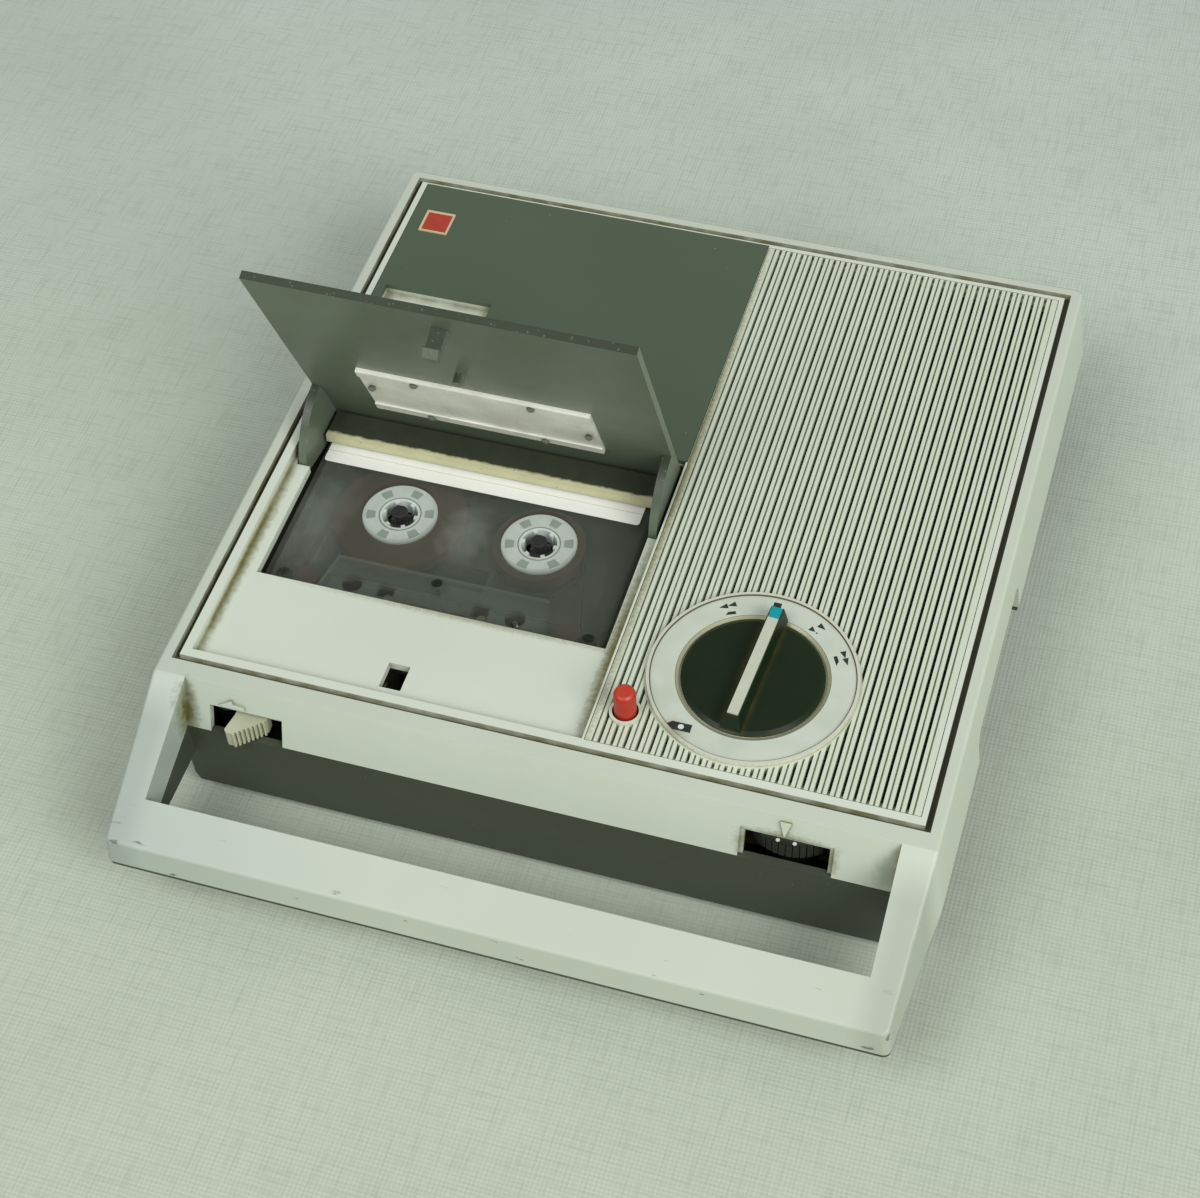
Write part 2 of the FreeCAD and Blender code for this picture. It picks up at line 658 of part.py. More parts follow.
class Moulding:
    """A body made feature by feature, from outlines on level planes."""

    def __init__(self, name):
        self.body = doc.addObject("PartDesign::Body", name)

    def origin(self, role):
        return next(item for item in self.body.Origin.OriginFeatures if item.Role == role)

    def outline(self, name, level, outlines):
        sketch = self.body.newObject("Sketcher::SketchObject", name)
        sketch.AttachmentSupport = [(self.origin("XY_Plane"), "")]
        sketch.MapMode = "FlatFace"
        bind(sketch, "AttachmentOffset.Base.z", level)
        return draw(sketch, *outlines)

    def add(self, name, bottom, top, *outlines):
        """Material between two levels."""
        pad = self.body.newObject("PartDesign::Pad", name)
        pad.Profile = self.outline(f"{name}_outline", bottom, outlines)
        bind(pad, "Length", size(top) - bottom)
        return pad

    def remove(self, name, top, bottom, *outlines):
        """A pocket from an upper level down to a lower one."""
        pocket = self.body.newObject("PartDesign::Pocket", name)
        pocket.Profile = self.outline(f"{name}_outline", top, outlines)
        bind(pocket, "Length", size(top) - bottom)
        return pocket

    def repeat(self, name, feature, pitch, count):
        """Copies of a feature side by side along X."""
        pattern = self.body.newObject("PartDesign::LinearPattern", name)
        pattern.Originals = [feature]
        pattern.Direction = (self.origin("X_Axis"), [""])
        pattern.Mode = "Spacing"
        bind(pattern, "Offset", pitch)
        bind(pattern, "Occurrences", count)
        self.body.Tip = pattern
        return pattern

    def ring(self, name, feature, count):
        """Copies of a feature round the body's Z axis."""
        pattern = self.body.newObject("PartDesign::PolarPattern", name)
        pattern.Originals = [feature]
        pattern.Axis = (self.origin("Z_Axis"), [""])
        pattern.Angle = 360
        bind(pattern, "Occurrences", count)
        self.body.Tip = pattern
        return pattern


def rectangle(x1, x2, y1, y2):
    return [(x1, y1), (x2, y1), (x2, y2), (x1, y2)]


NODES = []


def node(label, piece):
    """Name a finished piece. Its label is its file name."""
    piece.Label = label
    NODES.append(piece)
    return piece


# Case halves and handle

def span(half):
    """Both sides of the middle plane."""
    return -half, half


def window_outline(spread):
    """Side view of the hand opening, made larger all round by the spread."""
    lean_above = S.front_lean * MARGIN / S.front_wall_drop
    return [(bar_rear - spread, S.top_height + MARGIN),
            (body_front + lean_above + spread, S.top_height + MARGIN),
            (front_low + spread, skirt_height),
            (front_low + spread, S.floor_clearance),
            (bar_rear - spread, S.floor_clearance)]


def window_block(name, spread):
    """The hand opening between the grip bar and the slanted front wall."""
    return prism(name, "YZ", window_outline(size(spread)), *span(half_window + spread))


def skirt_block(name, gap):
    """Where the dark lower half lines the hand opening, under a slanted line."""
    bottom = S.parting_height - S.flange_thickness
    corners = [(front_low + S.case_wall, bottom),
               (front_low + S.case_wall, skirt_height - gap),
               (front_low, skirt_height - gap),
               (bar_rear, bar_skirt_height - gap),
               (bar_rear - S.case_wall, bar_skirt_height - gap),
               (bar_rear - S.case_wall, bottom)]
    return prism(name, "YZ", corners, *span(half_window + S.case_wall))


# Case screws and the tall posts that they pass through: across, back
BOSSES = [(9.5, 9.0), (200.5, 9.0), (12.5, 128.0), (118.0, 190.0), (199.0, 190.0)]


def at_bosses(name, radius, bottom, top):
    """One upright rod at each case screw."""
    return [rod(f"{name}_{number}", across(size(x)), back(size(y)), bottom, radius, size(top) - bottom)
            for number, (x, y) in enumerate(BOSSES, 1)]


def arm_tapers(name, spread):
    """Two wedges beside the arms. They lean like the side walls and leave the arms narrower in front."""
    lean = S.side_flare / (S.top_height - S.parting_height)
    start = half_parting + lean * S.parting_height - spread
    wedges = []
    for side, sign in (("left", -1), ("right", 1)):
        wedge = prism(f"{name}_{side}", "XY", [
            (sign * start, body_front), (sign * (start - S.arm_taper), nose),
            (sign * (start - S.arm_taper), nose - MARGIN), (sign * (start + MARGIN), nose - MARGIN),
            (sign * (start + MARGIN), body_front)], size(0), S.top_height + MARGIN)
        bind(wedge, "Dir.x", sign * -S.side_flare)
        bind(wedge, "Dir.z", S.top_height - S.parting_height)
        wedges.append(wedge)
    return wedges


def is_case_corner(edge):
    """True for the four upright corners, not for the bend where the arms begin."""
    return is_upright(edge) and abs(edge.CenterOfMass.y - body_front.value) > 1.0


def upper_case():
    """Light moulding: rim, flared side walls and a hollow grip bar on two arms."""
    side = prism("upper_side_view", "YZ", [
        (rear, S.parting_height), (rear_top, S.top_height), (body_front, S.top_height),
        (nose_top, S.nose_height), (nose, S.parting_height)], *span(half_parting))
    front = prism("upper_front_view", "XZ", [
        (-half_parting, S.parting_height), (-half_top, S.top_height),
        (half_top, S.top_height), (half_parting, S.parting_height)], nose, rear)
    tapered = cut("upper_tapered", common("upper_blank", side, front), *arm_tapers("arm_taper", size(0)))
    corners = rounded("upper_corners", tapered, S.case_corner, is_case_corner)
    solid = rounded("upper_solid", corners, S.top_edge_round, is_outer_top_edge)

    wall = S.case_wall
    inner_side = prism("upper_inner_side_view", "YZ", [
        (rear - wall, S.parting_height - MARGIN), (rear_top - wall, cavity_top),
        (body_front, cavity_top), (nose_top + wall, S.nose_height - wall),
        (nose + wall, S.parting_height - MARGIN)], *span(half_parting))
    inner_front = prism("upper_inner_front_view", "XZ", [
        (wall - half_parting, S.parting_height - MARGIN), (wall - half_top, cavity_top),
        (half_top - wall, cavity_top), (half_parting - wall, S.parting_height - MARGIN)], nose, rear)
    hollow = cut("upper_hollow", common("upper_inner_blank", inner_side, inner_front),
                 window_block("upper_window_walls", wall), *arm_tapers("inner_arm_taper", wall))

    ledge = half_opening - S.ledge_width
    panel_rear = panel_front + S.opening_length
    seat = block("panel_seat", *span(half_opening), panel_front, panel_rear,
                 S.top_height - S.groove_depth, S.top_height + MARGIN)
    mouth = block("panel_mouth", *span(ledge), panel_front + S.ledge_width,
                  panel_rear - S.ledge_width, cavity_top - MARGIN, S.top_height)
    shell = cut("upper_shell", solid, hollow, window_block("hand_window", 0),
                skirt_block("upper_skirt_line", 0), seat, mouth)
    return node("upper_case", cut("upper_case_notched", shell, *front_notches(), jack_notch()))


def is_outer_top_edge(edge):
    """Edges of the upper face, the sloping handle and the nose, away from the parting line."""
    low = min(vertex.Z for vertex in edge.Vertexes)
    return low > S.nose_height.value - 1.0


def front_notches():
    """Cut-outs for the eject lever and the volume wheel, the latter with a bevelled lip."""
    behind = body_front + S.case_wall + MARGIN
    eject = block("eject_notch", across(S.eject_notch_start), across(S.eject_notch_end),
                  front_low - MARGIN, behind, skirt_height - MARGIN, below(S.eject_notch_top))
    volume = block("volume_notch", across(S.volume_notch_start), across(S.volume_notch_end),
                   front_low - MARGIN, behind, skirt_height - MARGIN, below(S.volume_notch_top))
    lip_top = below(S.volume_notch_top) + S.notch_lip
    lip_lean = S.front_lean * (S.volume_notch_top - S.notch_lip) / S.front_wall_drop
    lip = prism("volume_notch_lip", "XY", [
        (across(S.volume_notch_start) - S.notch_lip, front_low - S.notch_lip),
        (across(S.volume_notch_end) + S.notch_lip, front_low - S.notch_lip),
        (across(S.volume_notch_end) + S.notch_lip, body_front - lip_lean),
        (across(S.volume_notch_end), body_front - lip_lean + S.notch_lip),
        (across(S.volume_notch_start), body_front - lip_lean + S.notch_lip),
        (across(S.volume_notch_start) - S.notch_lip, body_front - lip_lean)],
        skirt_height - MARGIN, lip_top)
    lean = prism("volume_notch_lip_lean", "YZ", [
        (front_low - MARGIN, skirt_height - MARGIN), (front_low + S.notch_lip, skirt_height - MARGIN),
        (front_low + S.notch_lip, skirt_height), (body_front - lip_lean + S.notch_lip / 2, lip_top),
        (front_low - MARGIN, lip_top)], across(S.volume_notch_start) - S.notch_lip,
        across(S.volume_notch_end) + S.notch_lip)
    return [eject, volume, common("volume_notch_bevel", lip, lean)]


def jack_notch():
    """Opening in the right side wall, with round upper corners, over the socket panel."""
    opening = block("jack_notch_square", half_opening - S.case_wall, half_parting + MARGIN,
                    back(S.jack_notch_start), back(S.jack_notch_start + S.jack_notch_length),
                    S.parting_height - MARGIN, S.parting_height + S.jack_notch_height)
    top = S.parting_height.value + S.jack_notch_height.value

    def upper_corner(edge):
        ends = [vertex.Point for vertex in edge.Vertexes]
        level = all(abs(end.z - top) < 0.01 for end in ends)
        return level and abs(ends[0].y - ends[1].y) < 0.01

    return rounded("jack_notch", opening, S.jack_notch_corner, upper_corner)


tub_half = half_parting - S.tub_inset
floor_half = tub_half - S.tub_taper
tub_rear = rear - S.tub_inset
floor_rear = tub_rear - S.tub_taper
floor_front = front_low + S.front_foot


def tub_blank():
    """Outside of the dark lower half, tapering down to a bevelled floor."""
    bevel = S.floor_clearance + S.tub_chamfer
    side = prism("tub_side_view", "YZ", [
        (front_low, S.parting_height), (floor_front, bevel),
        (floor_front + S.tub_chamfer, S.floor_clearance), (floor_rear - S.tub_chamfer, S.floor_clearance),
        (floor_rear, bevel), (tub_rear, S.parting_height)], *span(tub_half))
    front = prism("tub_front_view", "XZ", [
        (-tub_half, S.parting_height), (-floor_half, bevel),
        (S.tub_chamfer - floor_half, S.floor_clearance), (floor_half - S.tub_chamfer, S.floor_clearance),
        (floor_half, bevel), (tub_half, S.parting_height)], front_low, tub_rear)
    cut_off = S.case_corner + 3.0
    plan = prism("tub_plan_view", "XY", [
        (cut_off - tub_half, front_low), (tub_half - cut_off, front_low), (tub_half, front_low + cut_off),
        (tub_half, tub_rear - cut_off), (tub_half - cut_off, tub_rear), (cut_off - tub_half, tub_rear),
        (-tub_half, tub_rear - cut_off), (-tub_half, front_low + cut_off)],
        S.floor_clearance, S.parting_height)
    return common("tub_blank", common("tub_walls", side, front), plan)


def tub_inside():
    wall = S.case_wall
    above = S.parting_height + MARGIN
    side = prism("tub_inner_side_view", "YZ", [
        (front_low + wall, above), (floor_front + wall, floor_top),
        (floor_rear - wall, floor_top), (tub_rear - wall, above)], *span(tub_half))
    front = prism("tub_inner_front_view", "XZ", [
        (wall - tub_half, above), (wall - floor_half, floor_top),
        (floor_half - wall, floor_top), (tub_half - wall, above)], front_low, tub_rear)
    cut_off = S.case_corner + 3.0 + wall * 0.6
    left, right, low, high = wall - tub_half, tub_half - wall, front_low + wall, tub_rear - wall
    plan = prism("tub_inner_plan_view", "XY", [
        (left + cut_off, low), (right - cut_off, low), (right, low + cut_off), (right, high - cut_off),
        (right - cut_off, high), (left + cut_off, high), (left, high - cut_off), (left, low + cut_off)],
        floor_top, above)
    return common("tub_inside", common("tub_inner_walls", side, front), plan)


# Battery bay and its door
bay_end = (S.bay_start + 2 * S.contact_thickness + S.contact_spring
           + 2 * (S.cell_length + S.cell_nub) + S.bay_gap)
cell_axis = floor_top + S.door_gap / 4 + S.door_lip / 2 + S.bay_gap + S.cell_radius
door_start = S.bay_start + 2.0
door_end = bay_end - 2.0
door_front = S.bay_front + 2.0


def door_opening():
    """The door slides out to the rear, so its opening runs through the rear bevel."""
    return block("door_opening", across(door_start), across(door_end), back(door_front),
                 rear, S.floor_clearance - MARGIN, floor_top)


def battery_door(blank):
    """Floor plate with grip grooves and a lip that runs on the inside of the floor."""
    gap = S.door_gap
    plate = common("door_plate", blank, block(
        "door_limits", across(door_start + gap), across(door_end - gap), back(door_front + gap),
        rear, S.floor_clearance, floor_top))
    lip_bottom = floor_top + gap / 4
    lip = block("door_lip_plate", across(door_start - S.door_lip), across(door_end + S.door_lip),
                back(door_front - S.door_lip), floor_rear - S.case_wall - S.door_travel - gap,
                lip_bottom, lip_bottom + S.door_lip / 2)
    bridge = block("door_bridge", across(door_start + S.door_lip), across(door_end - S.door_lip),
                   back(door_front + S.door_lip), floor_rear - S.case_wall - S.door_travel - gap,
                   floor_top - gap, lip_bottom)
    grip_x = across((door_start + door_end) / 2)
    grooves = []
    for number in range(int(S.door_rib_count.value)):
        y = back(door_front + S.door_grip_start + S.door_rib_pitch * number)
        grooves.append(block(f"door_groove_{number}", grip_x - S.door_grip_width / 2,
                             grip_x + S.door_grip_width / 2, y, y + S.door_groove_width,
                             S.floor_clearance - MARGIN, S.floor_clearance + S.door_groove_depth))
    return node("battery_door", cut("battery_door_grooved", fuse("door_body", plate, lip, bridge), *grooves))


def lower_case():
    """Dark tub with the underside of the handle, posts, screw bosses and the battery bay."""
    blank = tub_blank()
    flange_bottom = S.parting_height - S.flange_thickness
    square = block("flange_square", *span(half_parting - S.flange_inset), nose + S.flange_inset,
                   rear - S.flange_inset, flange_bottom, S.parting_height)
    flange = rounded("flange_plate", cut(
        "flange_tapered", square, *arm_tapers("flange_taper", S.flange_inset)), S.case_corner, is_case_corner)
    flange_notch = block("flange_notch", half_parting - S.jack_panel_inset, half_parting + MARGIN,
                         back(S.jack_notch_start), back(S.jack_notch_start + S.jack_notch_length),
                         flange_bottom - S.step_gap, S.parting_height + MARGIN)
    lining = skirt_block("lower_skirt_line", S.step_gap)
    outside = cut("lower_outside", fuse("lower_solid", blank, flange, lining),
                  window_block("lower_window", 0), flange_notch)
    shell = cut("lower_shell", outside, tub_inside())

    post_top = chassis_bottom
    posts = [rod(f"chassis_post_{number}", across(x), back(y), floor_top - 1, S.post_radius,
                 post_top - floor_top + 1) for number, (x, y) in enumerate(CHASSIS_POSTS, 1)]
    posts += [rod(f"board_post_{number}", across(x), back(y), floor_top - 1, S.post_radius,
                  S.board_height - floor_top + 1) for number, (x, y) in enumerate(BOARD_POSTS, 1)]
    bosses = at_bosses("lower_boss", S.boss_radius, floor_top - 1, S.parting_height - S.step_gap)
    bay_top = floor_top + S.bay_height
    front_wall = block("bay_front_wall", across(S.bay_start - S.bay_wall), across(bay_end + S.bay_wall),
                       back(S.bay_front - S.bay_wall), back(S.bay_front), floor_top - 1, bay_top)
    end_wall = block("bay_end_wall", across(bay_end), across(bay_end + S.bay_wall),
                     back(S.bay_front - S.bay_wall), floor_rear - S.case_wall + 1, floor_top - 1, bay_top)
    furnished = fuse("lower_furnished", shell, *posts, *bosses, front_wall, end_wall)

    counterbores = at_bosses("screw_counterbore", S.case_screw_head + S.step_gap,
                             S.floor_clearance - MARGIN, screw_seat)
    holes = at_bosses("screw_hole", S.case_screw_radius + S.step_gap, S.floor_clearance,
                      S.parting_height + MARGIN)
    pilots = [rod(f"pilot_hole_{number}", across(x), back(y), S.board_height - S.pilot_depth,
                  S.board_screw_radius, S.pilot_depth + MARGIN + chassis_bottom - S.board_height)
              for number, (x, y) in enumerate(CHASSIS_POSTS + BOARD_POSTS, 1)]
    recesses = [rod(f"foot_recess_{number}", x, y, S.floor_clearance - MARGIN,
                    S.foot_radius + S.fit_gap, MARGIN + S.foot_recess)
                for number, (x, y) in enumerate(FEET, 1)]
    return node("lower_case", cut("lower_case_opened", furnished, door_opening(),
                                  *counterbores, *holes, *pilots, *recesses)), blank


# Levels of the drive, from the cassette down
cassette_top = below(S.cassette_drop)
cassette_bottom = cassette_top - S.cassette_thickness
chassis_top = cassette_bottom - S.plateau_rise - S.chassis_gap
chassis_bottom = chassis_top - S.chassis_thickness
screw_seat = floor_top + 1.0

CHASSIS_POSTS = [(x, y) for x in (S.chassis_start + S.post_inset, S.chassis_end - S.post_inset)
                 for y in (S.chassis_front + S.post_inset, S.chassis_rear - S.post_inset)]
BOARD_POSTS = [(x, y) for x in (S.board_start + S.post_inset, S.board_end - S.post_inset)
               for y in (S.board_front + S.post_inset, S.board_rear - S.post_inset)]
FEET = [(S.foot_inset - floor_half, floor_front + S.foot_inset),
        (floor_half - S.foot_inset, floor_front + S.foot_inset),
        (floor_half - S.foot_inset, floor_rear - S.foot_inset),
        (S.foot_inset + S.foot_radius - floor_half, back(S.bay_front) - S.foot_inset + S.foot_radius)]


def rubber_feet():
    """Four feet, each a shallow dome glued in a round recess of the floor."""
    height = S.floor_clearance + S.foot_recess
    feet = [turned(f"foot_{number}", [(0, 0), (S.foot_radius - 1.2, 0), (S.foot_radius, 1.2),
                                      (S.foot_radius, height), (0, height)], x, y, 0)
            for number, (x, y) in enumerate(FEET, 1)]
    return node("rubber_feet", group("rubber_feet_group", *feet))


def case_screws():
    """Long screws from the floor up into the posts of the top panel."""
    tip = below(S.panel_bottom) - S.panel_post_margin
    screws = []
    for number, (x, y) in enumerate(BOSSES, 1):
        head = rod(f"screw_head_{number}", across(size(x)), back(size(y)), screw_seat - 1.8,
                   S.case_screw_head, 1.8)
        slot = block(f"screw_slot_{number}", across(size(x)) - 0.4, across(size(x)) + 0.4,
                     back(size(y)) - S.case_screw_head, back(size(y)) + S.case_screw_head,
                     screw_seat - 2.8, screw_seat - 1.0)
        shank = rod(f"screw_shank_{number}", across(size(x)), back(size(y)), screw_seat - 0.1,
                    S.case_screw_radius, tip - screw_seat)
        screws.append(fuse(f"screw_{number}", cut(f"slotted_head_{number}", head, slot), shank))
    return node("case_screws", group("case_screws_group", *screws))


# Top panel, trim and grille
panel_half = half_opening - S.groove_width
skirt_half = half_opening - S.ledge_width - S.skirt_gap
panel_rear = panel_front + S.opening_length
deck_top = below(S.deck_drop)
panel_floor = below(S.panel_bottom)
rim_inner = S.groove_width + S.panel_rim
grille_seat_top = S.top_height - S.grille_thickness
speaker_top = grille_seat_top - S.cloth_thickness
grille_opening = rectangle(across(S.grille_start + S.grille_seat), across(S.grille_end - S.grille_seat),
                           back(S.grille_front + S.grille_seat), back(S.grille_rear - S.grille_seat))
hinge_y = back(S.hinge_back)
hinge_z = below(S.hinge_drop)


def top_panel():
    """Ivory moulding: rim, sunken deck, cassette well and the seats of trim plate and grille."""
    panel = Moulding("top_panel")
    panel.add("panel_rim_pad", S.top_height - S.groove_depth, S.top_height, rectangle(
        *span(panel_half), panel_front + S.groove_width, panel_rear - S.groove_width))
    panel.add("panel_skirt_pad", panel_floor, S.top_height - S.groove_depth, rectangle(
        *span(skirt_half), panel_front + S.ledge_width + S.skirt_gap,
        panel_rear - S.ledge_width - S.skirt_gap))
    deck_right = S.grille_start - S.grille_divider
    panel.remove("deck_recess", S.top_height, deck_top, rectangle(
        across(rim_inner), across(deck_right), back(rim_inner), back(S.deck_end)))
    panel.remove("trim_seat", S.top_height, below(S.trim_thickness), rectangle(
        across(S.trim_start - S.fit_gap), across(S.trim_end + S.fit_gap),
        back(S.deck_end), back(S.trim_rear + S.fit_gap)))
    panel.remove("pale_recess", S.top_height, below(S.recess_drop), rectangle(
        across(S.recess_start), across(S.recess_start + S.recess_width),
        back(S.recess_rear - S.recess_length), back(S.recess_rear)))
    panel.remove("grille_seat", S.top_height, grille_seat_top, rectangle(
        across(S.grille_start - S.fit_gap), across(S.grille_end + S.fit_gap),
        back(S.grille_front - S.fit_gap), back(S.grille_rear + S.fit_gap)))
    panel.remove("grille_opening", grille_seat_top + 1, panel_floor, grille_opening)

    cheek_left = across(S.lid_start - S.cheek_gap)
    cheek_right = across(S.lid_end + S.cheek_gap)
    below_hinge = hinge_z - S.cheek_boss
    for name, wall, lid_side in (("left", across(S.skirt_gap + S.ledge_width), cheek_left),
                                 ("right", across(S.grille_start + S.grille_seat), cheek_right)):
        low, high = (wall, lid_side) if name == "left" else (lid_side, wall)
        panel.add(f"hinge_boss_{name}", below_hinge, deck_top, rectangle(
            low, high, hinge_y - S.cheek_boss, hinge_y + S.cheek_boss))
    right, rear_edge = across(S.grille_end - S.grille_seat), back(S.grille_rear - S.grille_seat)
    front_edge = back(S.grille_front + S.grille_seat)
    panel.add("post_gussets", panel_floor, grille_seat_top - S.cloth_thickness - S.fit_gap,
              [(right - 12, front_edge), (right, front_edge), (right, front_edge + 12)],
              [(right - 12, rear_edge), (right, rear_edge - 12), (right, rear_edge)])
    left = across(S.grille_start + S.grille_seat)
    panel.add("speaker_ledges", panel_floor, speaker_top - S.speaker_metal, *[
        rectangle(x1, x2, back(S.speaker_back) + y - 4, back(S.speaker_back) + y + 4)
        for x1, x2 in ((left, left + 8.5), (right - 8.5, right)) for y in (-14, 14)])
    panel.add("panel_posts", S.parting_height, panel_floor + 0.5,
              *[(across(size(x)), back(size(y)), S.boss_radius) for x, y in BOSSES])

    panel.remove("cassette_well", deck_top + 1, panel_floor, [
        (across(S.well_start), back(S.well_front)), (across(S.well_end), back(S.well_front)),
        (across(S.well_end), back(S.cheek_notch_front)), (cheek_right, back(S.cheek_notch_front)),
        (cheek_right, back(S.well_rear)), (cheek_left, back(S.well_rear)),
        (cheek_left, back(S.cheek_notch_front)), (across(S.well_start), back(S.cheek_notch_front))])
    panel.remove("latch_hole", deck_top + 1, panel_floor, rectangle(
        across(S.latch_hole_start), across(S.latch_hole_start + S.latch_hole_width),
        back(S.latch_hole_front), back(S.latch_hole_front + S.latch_hole_length)))
    panel.remove("post_holes", panel_floor - S.panel_post_margin + 1.0, S.parting_height - 1,
                 *[(across(size(x)), back(size(y)), S.case_screw_radius + S.pin_gap) for x, y in BOSSES])
    bored = cut("top_panel_bored", panel.body, rod(
        "hinge_pin_bores", across(S.lid_start - S.cheek_gap - S.pin_seat), hinge_y, hinge_z,
        S.pin_radius + S.pin_gap, S.lid_end - S.lid_start + 2 * (S.cheek_gap + S.pin_seat), "X"))
    panel.body.Label = "top_panel_moulding"
    return node("top_panel", bored)


def trim_plate():
    """Dark plate behind the lid, with an opening over the pale recess and a seat for the badge."""
    plate = Moulding("trim_plate")
    bottom = below(S.trim_thickness)
    plate.add("trim_pad", bottom, S.top_height, rectangle(
        across(S.trim_start), across(S.trim_end), back(S.trim_front), back(S.trim_rear)))
    plate.remove("trim_recess", S.top_height + 1, bottom - 1, rectangle(
        across(S.recess_start), across(S.recess_start + S.recess_width),
        back(S.recess_rear - S.recess_length), back(S.recess_rear)))
    return node("trim_plate", plate.body)


def badge():
    """Bare square plate with a raised border."""
    plate = Moulding("badge")
    x, y, half = across(S.badge_across), back(S.badge_back), S.badge_size / 2
    top = S.top_height + S.badge_thickness
    plate.add("badge_pad", S.top_height, top, rectangle(x - half, x + half, y - half, y + half))
    inner = half - S.badge_border
    plate.remove("badge_field", top, top - S.badge_thickness / 2,
                 rectangle(x - inner, x + inner, y - inner, y + inner))
    return node("badge", plate.body)


def speaker_grille():
    """Ribbed plate: long open slots with a fine groove between, a dial seat and a button collar."""
    plate = Moulding("speaker_grille")
    plate.add("grille_pad", grille_seat_top, S.top_height, rectangle(
        across(S.grille_start), across(S.grille_end), back(S.grille_front), back(S.grille_rear)))
    first = across((S.grille_start + S.grille_end) / 2) - S.slot_pitch * (S.slot_count - 1) / 2
    front, end = back(S.grille_front + S.slot_margin), back(S.grille_rear - S.slot_margin)
    slot = plate.remove("grille_slot", S.top_height, grille_seat_top, rectangle(
        first - S.slot_width / 2, first + S.slot_width / 2, front, end))
    plate.repeat("grille_slots", slot, S.slot_pitch, S.slot_count)
    front, end = back(S.grille_front - S.fit_gap), back(S.grille_rear + S.fit_gap)
    run = plate.remove("slot_run_out", S.top_height, S.top_height - S.slot_end_depth, rectangle(
        first - S.slot_width / 2, first + S.slot_width / 2, front, end))
    plate.repeat("slot_run_outs", run, S.slot_pitch, S.slot_count)
    middle = first - S.slot_pitch / 2
    line = plate.remove("rib_groove", S.top_height, S.top_height - S.groove_line_depth, rectangle(
        middle - S.groove_line_width / 2, middle + S.groove_line_width / 2, front, end))
    plate.repeat("rib_grooves", line, S.slot_pitch, S.slot_count + 1)
    dial = (across(S.dial_across), back(S.dial_back))
    button = (across(S.button_across), back(S.button_back))
    plate.add("dial_seat", grille_seat_top, S.top_height, (*dial, S.dial_radius + S.dial_seat_edge))
    plate.add("button_collar", grille_seat_top, S.top_height + S.collar_height,
              (*button, S.collar_radius))
    plate.remove("shaft_hole", S.top_height + 1, grille_seat_top - 1, (*dial, S.shaft_radius + S.shaft_gap))
    plate.remove("button_hole", S.top_height + S.collar_height, grille_seat_top - 1,
                 (*button, S.button_radius + S.button_gap))
    return node("speaker_grille", plate.body)


def speaker_cloth():
    """Dark cloth stretched under the grille, with holes for the dial shaft and the button."""
    sheet_body = Moulding("speaker_cloth")
    x1, x2 = across(S.grille_start + S.grille_seat + S.fit_gap), across(S.grille_end - S.grille_seat - S.fit_gap)
    y1, y2 = back(S.grille_front + S.grille_seat + S.fit_gap), back(S.grille_rear - S.grille_seat - S.fit_gap)
    bottom = grille_seat_top - S.cloth_thickness
    sheet_body.add("cloth_pad", bottom, grille_seat_top, rectangle(x1, x2, y1, y2))
    sheet_body.remove("cloth_holes", grille_seat_top + 1, bottom - 1,
                      (across(S.dial_across), back(S.dial_back), S.shaft_radius + 2 * S.shaft_gap),
                      (across(S.button_across), back(S.button_back), S.button_flange_radius + S.shaft_gap))
    return node("speaker_cloth", sheet_body.body)


# Selector dial, record button and volume wheel
disc_bottom = S.top_height + S.knob_gap
disc_top = disc_bottom + S.knob_disc_height
grip_top = disc_top + S.grip_height
board_top = S.board_height + S.board_thickness
switch_top = board_top + S.switch_height


def dial_ring():
    """Spun ring with a raised lip outside and a bevel down to the knob."""
    height = S.dial_ring_height
    lip = S.dial_radius - S.dial_lip_width
    return node("dial_ring", turned("dial_ring_turned", [
        (S.dial_bore, 0), (S.dial_radius, 0), (S.dial_radius, height + S.dial_lip_height),
        (lip, height + S.dial_lip_height), (lip, height), (S.dial_bore + S.dial_lip_width, height),
        (S.dial_bore, height / 2)], across(S.dial_across), back(S.dial_back), S.top_height))


def on_knob(piece):
    """Put a piece that was drawn round the origin on the dial, turned like the knob."""
    turn = Rotation(Vector(0, 0, 1), -S.knob_turn.value)
    return place(piece, across(S.dial_across), back(S.dial_back), turn=turn)


def function_knob():
    """Black disc with a grip bar: leaning sides, a sloping tail and an upright pointing end."""
    disc = turned("knob_disc", [
        (0, disc_bottom), (S.knob_radius, disc_bottom), (S.knob_radius, disc_bottom + S.knob_edge),
        (S.knob_radius - S.knob_bevel, disc_top), (0, disc_top)])
    foot, top, tail = S.grip_width / 2, S.grip_top_width / 2, S.grip_length - S.grip_overhang
    tail_foot = -tail - S.grip_tail_lean
    head = grip_top - S.stripe_thickness
    section = prism("grip_section", "XZ", [
        (-foot, disc_bottom + S.knob_edge), (-foot, disc_top), (-top, head), (top, head), (foot, disc_top),
        (foot, disc_bottom + S.knob_edge)], tail_foot, S.grip_overhang)
    side = prism("grip_side_view", "YZ", [
        (tail_foot + S.knob_bevel, disc_bottom + S.knob_edge), (tail_foot, disc_top), (-tail, head),
        (S.grip_overhang, head), (S.grip_overhang, disc_top), (S.knob_radius - S.knob_bevel, disc_top),
        (S.knob_radius - S.knob_bevel, disc_bottom + S.knob_edge)], *span(foot))
    knob = fuse("knob_joined", disc, common("grip_bar", section, side))
    socket = rod("knob_socket", 0, 0, disc_bottom - MARGIN, S.shaft_tip_radius + S.pin_gap,
                 MARGIN + S.knob_disc_height + S.shaft_tip_length + S.fit_gap)
    return node("function_knob", on_knob(cut("knob_bored", knob, socket)))


